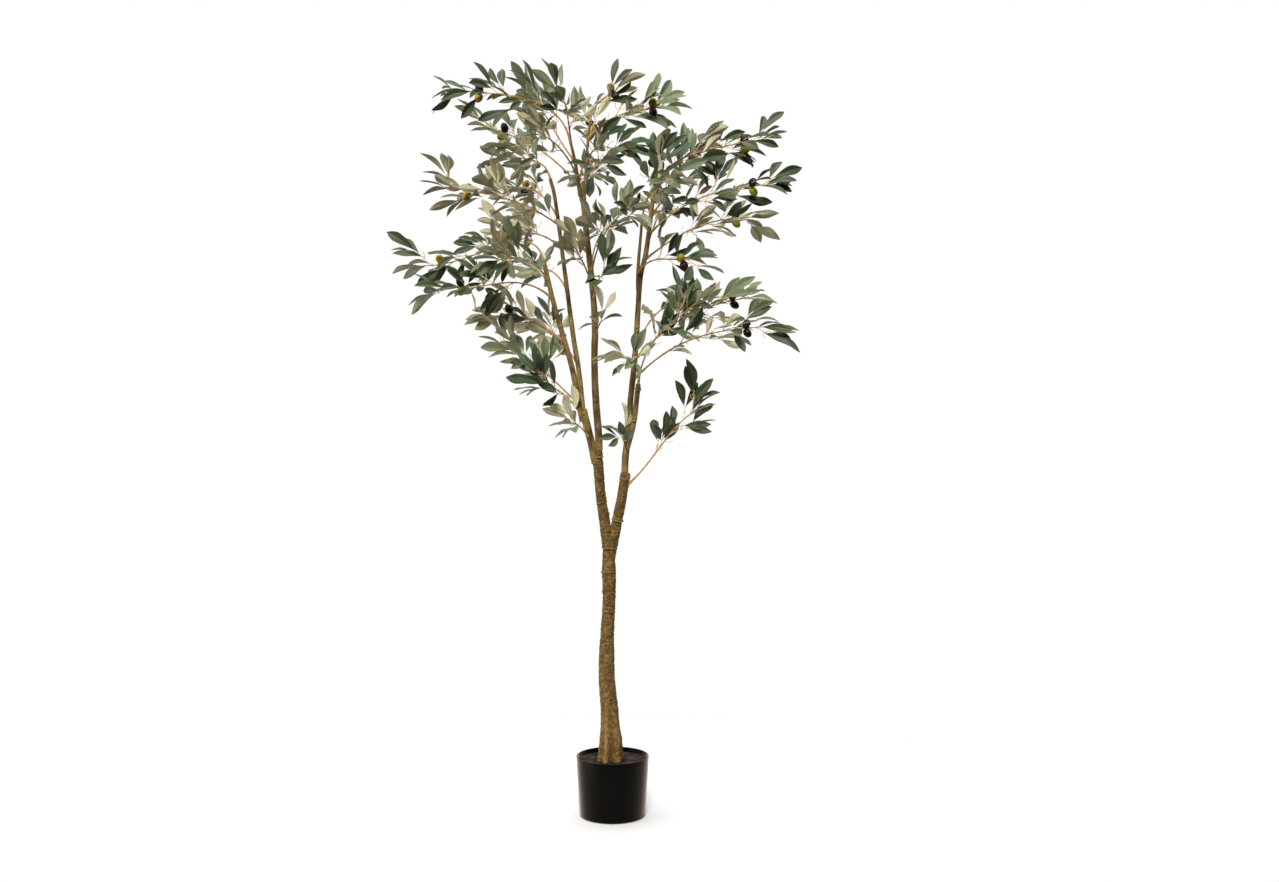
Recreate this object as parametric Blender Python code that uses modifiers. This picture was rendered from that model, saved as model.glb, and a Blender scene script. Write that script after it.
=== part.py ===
"""Artificial olive tree, 1.8 m tall, in a round black plastic pot.

Metres, +Z up. The origin is the middle of the pot's flat underside, and the tree's front is -Y.
The pot holds a cast fill with the trunk standing on it. The trunk forks into two boughs, these
fork into thin upright stems, and each stem carries sprays: wire twigs with fans of fabric leaves
and pairs of olives. Every limb and every spray is one closed body, 0.3 mm clear of its neighbours.
"""
import math
import random

import bmesh
import bpy
from mathutils import Vector
from mathutils.bvhtree import BVHTree

# Driving dimensions, in metres
GAP = 0.0003                # between pieces that touch
POT_HEIGHT = 0.1415
POT_TOP_RADIUS = 0.0862
POT_FOOT_RADIUS = 0.0790
POT_FOOT_EDGE = 0.005       # the rounding between side and underside
POT_WALL = 0.0025
POT_FLOOR = 0.0035
POT_STEPS = 36
FILL_TOP = 0.1308           # height of the fill's surface, a little under the rim

LIMB_STEP = 0.045           # length of a limb's straight pieces
FLARE_TOP = 0.262           # the ribs of the root flare run out here
# Ribs and, with a depth under zero, hollows: (degrees from +X, half width in degrees, depth)
FLARE_RIBS = [
    (250, 14, 0.0042), (204, 17, 0.0026), (314, 20, 0.0036), (15, 22, 0.0030), (75, 20, 0.0028),
    (135, 22, 0.0034), (226, 11, -0.0030), (277, 14, -0.0036), (345, 16, -0.0020),
    (45, 18, -0.0020), (105, 18, -0.0022), (170, 18, -0.0022)]

STEM_RADIUS = 0.0020        # a spray's stem at its foot
STEM_TIP_RADIUS = 0.0012
STEM_PIECES = 4             # straight pieces in a spray's stem
STEM_HANDLE = 0.4           # how far the stem's two bends reach, as a share of its length
STEM_OUT = 0.8              # how far a stem turns out from its limb as it leaves, as a slope
STEM_LEVEL = 0.35           # how much less steep than its whole climb a stem arrives
STEM_LEAST_CLIMB = 0.05
TWIG_RADIUS = 0.0011
TWIG_LENGTH = 0.052
TWIG_OUTERMOST = 0.92       # shares of the stem between which the side twigs leave it
TWIG_INNERMOST = 0.36
TWIG_LEAN = 0.75            # how far a side twig turns away from its stem, as a slope
TWIG_LIFT = 0.12
TWIG_SIZES = (0.75, 1.2)    # least and greatest share of TWIG_LENGTH
GOLDEN_TURN = math.radians(137.5)

LEAF_LENGTH = 0.074
LEAF_WIDTH = 0.0250
LEAF_WIDEST = 0.62          # share of the length at which a leaf is widest
LEAF_THICKEST = 0.36
LEAF_THICKNESS = 0.0013
LEAF_CUP = 0.03             # how far its edges rise, and its tip droops, as shares of its length
LEAF_DROOP = 0.05
LEAF_SINK = 0.0040          # how far a leaf's root lies inside its twig
LEAF_SIZES = (0.86, 1.14)   # least and greatest share of LEAF_LENGTH
LEAF_UP = 0.75              # how far the upper sides turn up, beside how far they turn to the front
LEAF_TURNS = 0.75           # the most that a leaf's upper side strays from that, each way
LEAF_RISE = 0.2             # the most that a leaf rises or drops out of its fan, as a slope
FAN_LEANS = (0.0, 0.50, -0.50)
FAN_STRAY = 0.20            # the most that a leaf strays from its place in the fan
FAN_STEP = 0.010            # each next leaf of a fan is rooted this much further back
FULL_FAN = 0.7              # twigs further out than this share of the stem carry three leaves
OLIVE_LENGTH = 0.0265
OLIVE_WIDTH = 0.0200
OLIVE_PLACE = 0.86          # share of the stem at which a pair of olives hangs
OLIVE_TURNS = (0.5, 1.4)    # how far round from the stem's upper side the first one stands
OLIVE_SPREAD = 1.8          # turn between the two of a pair, in radians
OLIVE_BACK = 0.15           # sprays that end behind this y bear their olives on the back
OLIVE_LEAN = 0.5            # how far an olive points along the stem, as a slope

SPRAY_SPREAD = 0.125        # a spray's own space is all that is nearer to its stem than this
SPACE_STEPS = 8             # the stem's shares at which that is measured
CLEARANCE = 0.0006          # a leaf or twig nearer than this to another piece is left off
SEEDS_A_SPRAY = 100

MERGE = 0.00002             # points nearer than this are one
BEYOND = 0.1                # a point this far from a limb's axis is outside its bark
UP = Vector((0, 0, 1))
ASKEW = Vector((0.3, 0.2, 1.0))     # a direction that no olive lies along

# Each limb: what it springs from, its number of sides, and points (x, y, z, radius) on its axis.
# A limb starts inside the one it springs from, and is cut off 0.3 mm clear of it.
LIMBS = {
    "trunk": (None, 20, [
        (-0.0062, 0.000, FILL_TOP + GAP, 0.0298), (-0.0050, 0.000, 0.172, 0.0266),
        (-0.0064, 0.000, 0.215, 0.0224), (-0.0079, 0.000, 0.255, 0.0209),
        (-0.0138, 0.000, 0.322, 0.0194), (-0.0141, 0.001, 0.378, 0.0185),
        (-0.0123, 0.002, 0.440, 0.0161), (-0.0086, 0.003, 0.510, 0.0155),
        (-0.0088, 0.002, 0.575, 0.0168), (-0.0092, 0.002, 0.615, 0.0155),
        (-0.0067, 0.000, 0.664, 0.0198)]),
    "bough_left": ("trunk", 8, [
        (-0.0120, 0.001, 0.640, 0.0130), (-0.0195, 0.003, 0.699, 0.0132),
        (-0.0285, 0.007, 0.762, 0.0121), (-0.0330, 0.009, 0.815, 0.0122),
        (-0.0370, 0.010, 0.862, 0.0128)]),
    "bough_right": ("trunk", 8, [
        (0.0000, -0.002, 0.640, 0.0120), (0.0110, -0.006, 0.700, 0.0128),
        (0.0215, -0.012, 0.752, 0.0120), (0.0305, -0.016, 0.812, 0.0118)]),
    "stem_middle": ("bough_left", 6, [
        (-0.0340, 0.012, 0.840, 0.0090), (-0.0335, 0.014, 0.900, 0.0090),
        (-0.0405, 0.018, 0.985, 0.0086), (-0.0440, 0.021, 1.080, 0.0080),
        (-0.0430, 0.022, 1.167, 0.0078), (-0.0485, 0.020, 1.255, 0.0074),
        (-0.0650, 0.020, 1.406, 0.0070), (-0.0720, 0.020, 1.487, 0.0068)]),
    "bough_far_left": ("bough_left", 6, [
        (-0.0415, 0.006, 0.836, 0.0086), (-0.0525, -0.001, 0.892, 0.0092),
        (-0.0705, -0.010, 0.962, 0.0098)]),
    "crown_left": ("stem_middle", 6, [
        (-0.074, 0.017, 1.462, 0.0042), (-0.083, 0.010, 1.508, 0.0048),
        (-0.089, 0.000, 1.552, 0.0042), (-0.100, -0.010, 1.600, 0.0032)]),
    "crown_right": ("stem_middle", 6, [
        (-0.070, 0.023, 1.462, 0.0040), (-0.065, 0.030, 1.515, 0.0044),
        (-0.063, 0.030, 1.576, 0.0036), (-0.054, 0.022, 1.660, 0.0026)]),
    "stem_left_outer": ("bough_far_left", 6, [
        (-0.0730, -0.015, 0.935, 0.0052), (-0.0845, -0.022, 1.010, 0.0068),
        (-0.1010, -0.032, 1.085, 0.0064), (-0.1350, -0.045, 1.204, 0.0058),
        (-0.1610, -0.042, 1.313, 0.0050)]),
    "stem_left_inner": ("bough_far_left", 6, [
        (-0.0670, -0.006, 0.935, 0.0048), (-0.0745, 0.004, 1.000, 0.0062),
        (-0.0825, 0.014, 1.067, 0.0061), (-0.0950, 0.027, 1.140, 0.0060),
        (-0.1170, 0.048, 1.301, 0.0052), (-0.1400, 0.058, 1.471, 0.0046),
        (-0.1520, 0.055, 1.524, 0.0042)]),
    "stem_right": ("bough_right", 6, [
        (0.0290, -0.014, 0.790, 0.0080), (0.0305, -0.012, 0.850, 0.0082),
        (0.0370, -0.011, 0.916, 0.0074), (0.0440, -0.012, 0.999, 0.0070),
        (0.0515, -0.014, 1.070, 0.0068), (0.0575, -0.016, 1.150, 0.0066),
        (0.0655, -0.016, 1.272, 0.0062), (0.0800, -0.014, 1.340, 0.0058),
        (0.0960, -0.010, 1.463, 0.0050)]),
    "stem_right_low": ("stem_right", 6, [
        (0.0360, -0.017, 0.870, 0.0048), (0.0510, -0.033, 0.935, 0.0062),
        (0.0610, -0.041, 1.022, 0.0060)]),
    "stem_right_high": ("stem_right", 6, [
        (0.061, -0.018, 1.206, 0.0032), (0.060, -0.032, 1.283, 0.0040),
        (0.069, -0.045, 1.397, 0.0032)]),
}

# Each spray: the limb that carries it, the height at which it leaves that limb (None at the
# limb's tip), where its stem ends, its number of side twigs, whether it bears a pair of olives,
# and how far the upper sides of its leaves turn to the front (1) or to the back (-1).
SPRAYS = {
    "spray_top_left_outer": ("crown_left", None, (-0.352, -0.045, 1.712), 5, True, 0.8),
    "spray_top_left_inner": ("crown_left", 1.560, (-0.195, 0.050, 1.716), 4, False, 0.9),
    "spray_top_middle": ("crown_left", 1.575, (-0.105, -0.160, 1.655), 3, False, -0.6),
    "spray_top_up": ("crown_right", None, (0.012, -0.020, 1.722), 2, True, 0.7),
    "spray_top_right": ("crown_right", 1.620, (0.122, -0.055, 1.672), 5, True, 0.9),
    "spray_top_right_low": ("crown_right", 1.560, (0.030, -0.130, 1.560), 3, False, 0.6),
    "spray_top_back": ("crown_right", 1.600, (-0.045, 0.190, 1.690), 4, True, -0.3),
    "spray_high_left_outer": ("crown_left", 1.510, (-0.292, 0.035, 1.640), 4, True, 0.2),
    "spray_high_left_inner": ("stem_left_inner", None, (-0.235, 0.110, 1.590), 3, False, -0.8),
    "spray_high_left_front": ("crown_left", 1.530, (-0.165, -0.165, 1.585), 3, False, -0.7),
    "spray_high_middle_back": ("crown_right", 1.500, (-0.060, 0.200, 1.560), 3, False, 0.4),
    "spray_high_middle_front": ("crown_right", 1.490, (-0.025, -0.175, 1.515), 3, False, 0.5),
    "spray_left_upper_outer": ("stem_middle", 1.345, (-0.382, -0.100, 1.474), 5, True, -0.5),
    "spray_left_upper_back": ("stem_left_inner", 1.440, (-0.250, 0.230, 1.540), 4, True, -0.4),
    "spray_left_outer": ("stem_left_outer", None, (-0.442, -0.050, 1.300), 5, True, 0.7),
    "spray_left_inner": ("stem_left_inner", 1.360, (-0.280, 0.125, 1.405), 4, True, -0.7),
    "spray_left_lower_outer": ("stem_left_outer", 1.230, (-0.378, -0.125, 1.240), 4, True, 0.6),
    "spray_left_front": ("stem_left_outer", 1.270, (-0.245, -0.215, 1.300), 4, False, 0.8),
    "spray_left_back": ("stem_left_inner", 1.260, (-0.225, 0.255, 1.330), 3, True, 0.2),
    "spray_left_lower": ("stem_left_outer", 1.130, (-0.262, -0.030, 1.190), 3, True, -0.5),
    "spray_left_low_outer": ("stem_left_outer", 0.985, (-0.255, -0.060, 1.112), 4, False, 0.5),
    "spray_left_low_front": ("stem_left_outer", 0.965, (-0.160, -0.095, 1.022), 3, False, 0.9),
    "spray_left_low_back": ("stem_left_inner", 1.080, (-0.190, 0.200, 1.180), 4, False, 0.3),
    "spray_left_lowest": ("bough_far_left", 0.905, (-0.092, -0.064, 0.932), 2, False, -0.9),
    "spray_middle_front": ("stem_middle", 1.300, (0.042, -0.180, 1.413), 3, False, -0.6),
    "spray_middle_left": ("stem_middle", 1.270, (-0.085, -0.060, 1.335), 2, False, -0.5),
    "spray_middle_back": ("stem_middle", 1.310, (-0.010, 0.230, 1.440), 3, False, 0.3),
    "spray_right_top_outer": ("stem_right", None, (0.354, -0.020, 1.603), 5, True, 0.8),
    "spray_right_top_inner": ("stem_right", 1.430, (0.215, 0.110, 1.615), 3, False, 0.6),
    "spray_right_upper": ("stem_right", 1.445, (0.110, -0.065, 1.545), 3, True, 0.7),
    "spray_right_upper_outer": ("stem_right", 1.385, (0.371, -0.050, 1.490), 5, True, 0.9),
    "spray_right_outer": ("stem_right", 1.325, (0.330, 0.060, 1.432), 4, True, -0.3),
    "spray_right_upper_back": ("stem_right", 1.360, (0.150, 0.235, 1.500), 4, True, 0.2),
    "spray_right_upper_front": ("stem_right_high", None, (0.130, -0.215, 1.475), 4, False, 0.5),
    "spray_right_front": ("stem_right_high", 1.290, (0.180, -0.125, 1.305), 3, True, 0.5),
    "spray_right_low_outer": ("stem_right", 1.040, (0.362, -0.045, 1.158), 5, True, 0.4),
    "spray_right_low_upper": ("stem_right", 1.090, (0.330, 0.060, 1.238), 4, True, 0.6),
    "spray_right_low_front": ("stem_right_low", None, (0.198, -0.200, 1.203), 4, False, 0.1),
    "spray_right_low_back": ("stem_right", 1.120, (0.185, 0.215, 1.245), 3, True, 0.4),
    "spray_right_low_left": ("stem_right", 1.060, (0.034, -0.074, 1.082), 2, False, 0.3),
    "spray_fork_right": ("bough_right", 0.790, (0.196, -0.060, 0.964), 3, False, 0.9),
    "spray_fork_left": ("stem_right", 0.865, (0.024, -0.062, 0.902), 2, False, 0.8),
    "spray_middle_high": ("stem_middle", 1.235, (-0.022, -0.075, 1.275), 1, False, 0.8),
    "spray_middle_low": ("stem_middle", 1.135, (-0.024, -0.050, 1.172), 1, False, 0.1),
}

COLOURS = {                 # linear colour, roughness, metallic
    "black_plastic": ((0.012, 0.011, 0.010), 0.35, 0.0),
    "dark_fill": ((0.020, 0.014, 0.009), 0.95, 0.0),
    "bark": ((0.190, 0.115, 0.038), 0.85, 0.0),
    "foliage": ((0.060, 0.090, 0.048), 0.75, 0.0),
}


def clear_scene():
    for thing in list(bpy.data.objects):
        bpy.data.objects.remove(thing, do_unlink=True)


def new_collection(name):
    collection = bpy.data.collections.new(name)
    bpy.context.scene.collection.children.link(collection)
    return collection


def material(name):
    colour, roughness, metallic = COLOURS[name]
    made = bpy.data.materials.new(name)
    made.use_nodes = True
    shader = made.node_tree.nodes["Principled BSDF"]
    shader.inputs["Base Color"].default_value = (*colour, 1.0)
    shader.inputs["Roughness"].default_value = roughness
    shader.inputs["Metallic"].default_value = metallic
    return made


def add_object(name, mesh, collection, finish=None):
    thing = bpy.data.objects.new(name, mesh)
    collection.objects.link(thing)
    if finish:
        mesh.materials.clear()
        mesh.materials.append(finish)
    return thing


def evaluated_mesh(thing):
    """The object's mesh with its modifiers applied."""
    graph = bpy.context.evaluated_depsgraph_get()
    graph.update()
    return bpy.data.meshes.new_from_object(thing.evaluated_get(graph))


def face_outward(form):
    """Turns all faces out, judged by the volume they enclose."""
    bmesh.ops.recalc_face_normals(form, faces=form.faces)
    if form.calc_volume(signed=True) < 0:
        bmesh.ops.reverse_faces(form, faces=form.faces)


def mesh_from(form, name):
    mesh = bpy.data.meshes.new(name)
    form.to_mesh(mesh)
    form.free()
    return mesh


def tree_of(mesh):
    """The mesh's surface, for finding what touches it."""
    points = [vertex.co.copy() for vertex in mesh.vertices]
    return BVHTree.FromPolygons(points, [tuple(face.vertices) for face in mesh.polygons])


def smooth_path(points, step):
    """A Catmull-Rom curve through points of any number of values, cut into short pieces."""
    knots = [Vector(point) for point in points]
    ends = [2 * knots[0] - knots[1], *knots, 2 * knots[-1] - knots[-2]]
    path = [knots[0]]
    for before, here, there, after in zip(ends, ends[1:], ends[2:], ends[3:]):
        count = max(1, round((there - here).length / step))
        for index in range(1, count + 1):
            t = index / count
            bend = 2 * before - 5 * here + 4 * there - after
            turn = 3 * here - before - 3 * there + after
            path.append(here + 0.5 * ((there - before) * t + bend * t ** 2 + turn * t ** 3))
    return path


def bezier_path(start, leave, arrive, end, pieces):
    """A cubic curve from start to end with the handles leave and arrive."""
    path = []
    for index in range(pieces + 1):
        t = index / pieces
        s = 1 - t
        path.append(s ** 3 * start + 3 * s * s * t * leave + 3 * s * t * t * arrive + t ** 3 * end)
    return path


def section_curve(sides):
    """A flat polygon of radius 1 that the tubes are swept with."""
    curve = bpy.data.curves.new(f"section_{sides}", "CURVE")
    curve.dimensions = "2D"
    curve.fill_mode = "NONE"
    line = curve.splines.new("POLY")
    line.points.add(sides - 1)
    for index, point in enumerate(line.points):
        angle = 2 * math.pi * index / sides
        point.co = (math.cos(angle), math.sin(angle), 0, 1)
    line.use_cyclic_u = True
    thing = bpy.data.objects.new(curve.name, curve)
    bpy.context.scene.collection.objects.link(thing)
    return thing


def tube_mesh(name, path, radii, section):
    """A closed tube along the path, swept from the section and scaled to each radius."""
    curve = bpy.data.curves.new(name, "CURVE")
    curve.dimensions = "3D"
    curve.bevel_mode = "OBJECT"
    curve.bevel_object = section
    curve.use_fill_caps = True
    line = curve.splines.new("POLY")
    line.points.add(len(path) - 1)
    for point, place, radius in zip(line.points, path, radii):
        point.co = (*place, 1)
        point.radius = radius
    holder = bpy.data.objects.new(name, curve)
    bpy.context.scene.collection.objects.link(holder)
    mesh = evaluated_mesh(holder)
    bpy.data.objects.remove(holder, do_unlink=True)
    bpy.data.curves.remove(curve)
    form = bmesh.new()
    form.from_mesh(mesh)
    bmesh.ops.remove_doubles(form, verts=form.verts, dist=MERGE)
    face_outward(form)
    form.to_mesh(mesh)
    form.free()
    return mesh


# The pot and its fill

def turned(name, profile, collection, finish):
    """A profile of (radius, height) turned about the Z axis."""
    form = bmesh.new()
    points = [form.verts.new((radius, 0, height)) for radius, height in profile]
    for upper, lower in zip(points, points[1:]):
        form.edges.new((upper, lower))
    thing = add_object(name, mesh_from(form, name), collection, finish)
    screw = thing.modifiers.new("turn", "SCREW")
    screw.steps = screw.render_steps = POT_STEPS
    screw.use_merge_vertices = True
    screw.merge_threshold = MERGE
    return thing


def make_pot(collection, finish):
    """A thin shell with tapered sides, a rounded foot edge and a flat underside."""
    slope = (POT_TOP_RADIUS - POT_FOOT_RADIUS) / POT_HEIGHT
    inner_foot = POT_FOOT_RADIUS + slope * POT_FLOOR - POT_WALL
    half = math.sqrt(0.5)
    foot = [
        (POT_FOOT_RADIUS + slope * POT_FOOT_EDGE, POT_FOOT_EDGE),
        (POT_FOOT_RADIUS - POT_FOOT_EDGE * (1 - half), POT_FOOT_EDGE * (1 - half)),
        (POT_FOOT_RADIUS - POT_FOOT_EDGE, 0),
    ]
    profile = [
        (0, POT_FLOOR), (inner_foot, POT_FLOOR), (POT_TOP_RADIUS - POT_WALL, POT_HEIGHT),
        (POT_TOP_RADIUS, POT_HEIGHT), *foot, (0, 0)]
    return turned("pot", profile, collection, finish)


def make_fill(collection, finish):
    """The cast plug that weighs the pot down and carries the trunk."""
    slope = (POT_TOP_RADIUS - POT_FOOT_RADIUS) / POT_HEIGHT
    inner = POT_FOOT_RADIUS - POT_WALL - 2 * GAP
    low = POT_FLOOR + GAP
    profile = [
        (0, FILL_TOP), (inner + slope * FILL_TOP, FILL_TOP), (inner + slope * low, low), (0, low)]
    return turned("pot_fill", profile, collection, finish)


# The limbs

def shape_trunk_foot(mesh, foot):
    """Cuts the trunk level where it stands, and presses the ribs of the root flare into it."""
    for vertex in mesh.vertices:
        if vertex.co.z < foot.z + 0.5 * LIMB_STEP:
            vertex.co.z = foot.z
        height = (FLARE_TOP - vertex.co.z) / (FLARE_TOP - foot.z)
        if height > 0:
            out = Vector((vertex.co.x - foot.x, vertex.co.y - foot.y, 0))
            bearing = math.degrees(math.atan2(out.y, out.x))
            for middle, half_width, depth in FLARE_RIBS:
                away = abs((bearing - middle + 180) % 360 - 180) / half_width
                vertex.co += out.normalized() * depth * height * math.exp(-away ** 2)


def limb_mesh(name, path, section, grow):
    """The limb's closed tube, grown by a margin at its sides and its tip."""
    places = [point.to_3d() for point in path]
    places[-1] += (places[-1] - places[-2]).normalized() * grow
    mesh = tube_mesh(name, places, [point[3] + grow for point in path], section)
    if name == "trunk":
        shape_trunk_foot(mesh, places[0])
    return mesh


def make_limbs(collection, cutters, finish):
    """All limbs, each cut clear of the limb it springs from and of the earlier ones beside it."""
    sections = {sides: section_curve(sides) for sides in {row[1] for row in LIMBS.values()}}
    paths = {name: smooth_path(row[2], LIMB_STEP) for name, row in LIMBS.items()}
    made = {}
    for name, (parent, sides, _) in LIMBS.items():
        limb = add_object(name, limb_mesh(name, paths[name], sections[sides], 0), collection, finish)
        beside = [other for other in made if LIMBS[other][0] == parent]
        for other in [parent, *beside] if parent else []:
            cut = limb.modifiers.new(f"clear_of_{other}", "BOOLEAN")
            cut.object = cutters.objects[f"cut_{other}"]
        if parent:
            limb.data = evaluated_mesh(limb)
            limb.modifiers.clear()
            keep_largest_body(limb.data)
        cutter = add_object(
            f"cut_{name}", limb_mesh(name, paths[name], sections[sides], GAP), cutters)
        cutter.hide_render = True
        cutter.display_type = "WIRE"
        made[name] = limb
    for section in sections.values():
        bpy.data.objects.remove(section, do_unlink=True)
    return made, {name: [point.to_3d() for point in path] for name, path in paths.items()}


def keep_largest_body(mesh):
    """Drops loose scraps that a cut or a union leaves."""
    form = bmesh.new()
    form.from_mesh(mesh)
    bodies = []
    left = set(form.verts)
    while left:
        body = {left.pop()}
        newest = list(body)
        while newest:
            point = newest.pop()
            near = {edge.other_vert(point) for edge in point.link_edges} - body
            body |= near
            newest.extend(near)
        left -= body
        bodies.append(body)
    bodies.sort(key=len)
    for body in bodies[:-1]:
        bmesh.ops.delete(form, geom=list(body), context="VERTS")
    form.to_mesh(mesh)
    form.free()


# The sprays

def limb_at(path, height):
    """The point on a limb's axis at a height, and the limb's direction there."""
    for low, high in zip(path, path[1:]):
        if high.z >= height:
            share = (height - low.z) / (high.z - low.z)
            return low.lerp(high, share), (high - low).normalized()
    return path[-1], (path[-1] - path[-2]).normalized()


def across(direction, wanted):
    """The part of wanted that is square to direction, as a unit vector."""
    return (wanted - direction * wanted.dot(direction)).normalized()


def leaf_mesh(root, along, face, size, grow=0.0):
    """A pointed blade, widest past its middle, made from a ball of eight faces."""
    side = face.cross(along)
    length = LEAF_LENGTH * size
    form = bmesh.new()
    bmesh.ops.create_uvsphere(form, u_segments=4, v_segments=2, radius=1)
    for vertex in form.verts:
        across_leaf, through, lengthwise = (round(value) for value in vertex.co)
        if lengthwise > 0:
            place = along * (length + grow) - face * LEAF_DROOP * length
        elif lengthwise < 0:
            place = -along * grow
        elif across_leaf:
            reach = along * LEAF_WIDEST * length + face * LEAF_CUP * length
            place = reach + side * across_leaf * (0.5 * LEAF_WIDTH * size + grow)
        else:
            reach = along * LEAF_THICKEST * length
            place = reach + face * through * (0.5 * LEAF_THICKNESS + grow)
        vertex.co = root + place
    face_outward(form)
    return mesh_from(form, "leaf")


def olive_mesh(foot, along, grow=0.0):
    """An egg-shaped fruit that starts at foot and lies along its stalk's line."""
    side = across(along, ASKEW)
    other = along.cross(side)
    middle = foot + along * 0.5 * OLIVE_LENGTH
    form = bmesh.new()
    bmesh.ops.create_uvsphere(form, u_segments=6, v_segments=3, radius=1)
    for vertex in form.verts:
        x, y, z = vertex.co
        round_it = (side * x + other * y) * (0.5 * OLIVE_WIDTH + grow)
        vertex.co = middle + round_it + along * z * (0.5 * OLIVE_LENGTH + grow)
    face_outward(form)
    return mesh_from(form, "olive")


class Spray:
    """One spray: a stem with side twigs, fans of leaves and olives, that grows by a seeded rule.

    Each twig draws its numbers from a seed of its own, so leaving one off changes no other.
    """

    def __init__(self, name, order, limbs, paths, section):
        limb, height, end, self.twigs, self.fruiting, self.turn = SPRAYS[name]
        self.name = name
        self.order = order
        self.section = section
        self.end = Vector(end)
        self.stem = self.stem_path(limbs[limb], paths[limb], height)
        stem = self.tube(self.stem, STEM_RADIUS, STEM_TIP_RADIUS)
        self.cut_foot(stem)
        self.pieces = [stem]
        self.stem_tree = tree_of(stem)
        self.others = []
        self.grown = []

    def stem_path(self, limb, path, height):
        """From the bark of the limb, up along it and over to the stem's end."""
        if height is None:
            centre, along = path[-1], (path[-1] - path[-2]).normalized()
            self.foot_face = along
            start = centre + along * GAP
            leave = along
        else:
            centre, along = limb_at(path, height)
            out = across(along, self.end - centre)
            bark, self.foot_face, _, _ = tree_of(limb.data).ray_cast(centre + out * BEYOND, -out)
            start = bark + self.foot_face * GAP
            leave = (out * STEM_OUT + along).normalized()
        handle = STEM_HANDLE * (self.end - start).length
        over = Vector((self.end.x - start.x, self.end.y - start.y, 0))
        climb = max(STEM_LEAST_CLIMB, (self.end.z - start.z) / over.length - STEM_LEVEL)
        arrive = (over.normalized() + UP * climb).normalized()
        return bezier_path(
            start, start + leave * handle, self.end - arrive * handle, self.end, STEM_PIECES)

    def cut_foot(self, mesh):
        """Slides the corners of the stem's foot along it until they lie flat to the bark."""
        start = self.stem[0]
        run = (self.stem[1] - start).normalized()
        for vertex in mesh.vertices:
            if (vertex.co - start).length < 2 * STEM_RADIUS:
                slide = (start - vertex.co).dot(self.foot_face) / run.dot(self.foot_face)
                vertex.co += run * slide

    def stem_at(self, share):
        """The point at a share of the stem's length, and the stem's direction there."""
        place = share * STEM_PIECES
        index = min(int(place), STEM_PIECES - 1)
        low, high = self.stem[index], self.stem[index + 1]
        return low.lerp(high, place - index), (high - low).normalized()

    def lean_at(self, share, around):
        """A direction square to the stem, turned around it from the upper side."""
        start, run = self.stem_at(share)
        upper = across(run, UP)
        return start, run, upper * math.cos(around) + run.cross(upper) * math.sin(around)

    def in_space(self, point):
        """Whether the point lies in the space that the spray keeps to."""
        shares = [step / SPACE_STEPS for step in range(SPACE_STEPS + 1)]
        return min((point - self.stem_at(share)[0]).length for share in shares) < SPRAY_SPREAD

    def touches(self, mesh, own):
        """Whether the mesh meets another piece, or one of the spray's own that own lists."""
        candidate = tree_of(mesh)
        return any(tree.overlap(candidate) for tree in [*self.others, *own])

    def tube(self, path, start_radius, end_radius):
        """A three-sided tube that tapers evenly."""
        last = len(path) - 1
        step = (end_radius - start_radius) / last
        radii = [start_radius + step * index for index in range(last + 1)]
        return tube_mesh("twig", path, radii, self.section)

    def add(self, mesh):
        """Keeps a piece that grows on the stem."""
        self.pieces.append(mesh)
        self.grown.append(tree_of(mesh))

    def fan(self, draw, tip, heading, count, own):
        """Two or three leaves along a twig's end, their upper sides up and to front or back."""
        facing = Vector((0, -self.turn, LEAF_UP))
        side = heading.cross(across(heading, facing)) * draw.choice((1, -1))
        for place, lean in enumerate(FAN_LEANS[:count]):
            lean += draw.uniform(-FAN_STRAY, FAN_STRAY)
            size = draw.uniform(*LEAF_SIZES)
            rise = draw.uniform(-LEAF_RISE, LEAF_RISE)
            stray = Vector([draw.uniform(-LEAF_TURNS, LEAF_TURNS) for _ in range(3)])
            along = (heading + side * lean + across(heading, facing + stray) * rise).normalized()
            root = tip - heading * (LEAF_SINK + FAN_STEP * place)
            leaf_face = across(along, facing + stray)
            blocked = self.touches(leaf_mesh(root, along, leaf_face, size, CLEARANCE), own)
            if self.in_space(root + along * LEAF_LENGTH * size) and not blocked:
                self.add(leaf_mesh(root, along, leaf_face, size))

    def side_twig(self, draw, share, around):
        """A short twig off the stem that ends in a fan."""
        start, run, lean = self.lean_at(share, around)
        heading = (run + lean * TWIG_LEAN + UP * TWIG_LIFT).normalized()
        tip = start + heading * TWIG_LENGTH * draw.uniform(*TWIG_SIZES)
        own = list(self.grown)
        clear_of_stem = start + heading * 2 * STEM_RADIUS
        wide = TWIG_RADIUS + CLEARANCE
        if not self.touches(self.tube([clear_of_stem, tip], wide, wide), own):
            self.add(self.tube([start, tip], TWIG_RADIUS, TWIG_RADIUS))
            self.fan(draw, tip, heading, 3 if share > FULL_FAN else 2, [*own, self.stem_tree])

    def olives(self, draw):
        """A pair of olives, each sunk in the stem by its end, on the crown's outer side."""
        start, run = self.stem_at(OLIVE_PLACE)
        outer_side = math.copysign(1, run.x) * (1 if self.end.y < OLIVE_BACK else -1)
        first = draw.uniform(*OLIVE_TURNS)
        for turn in (first, first + OLIVE_SPREAD):
            lean = self.lean_at(OLIVE_PLACE, turn * outer_side)[2]
            heading = (lean + run * OLIVE_LEAN).normalized()
            if not self.touches(olive_mesh(start, heading, CLEARANCE), []):
                self.add(olive_mesh(start, heading))

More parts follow.
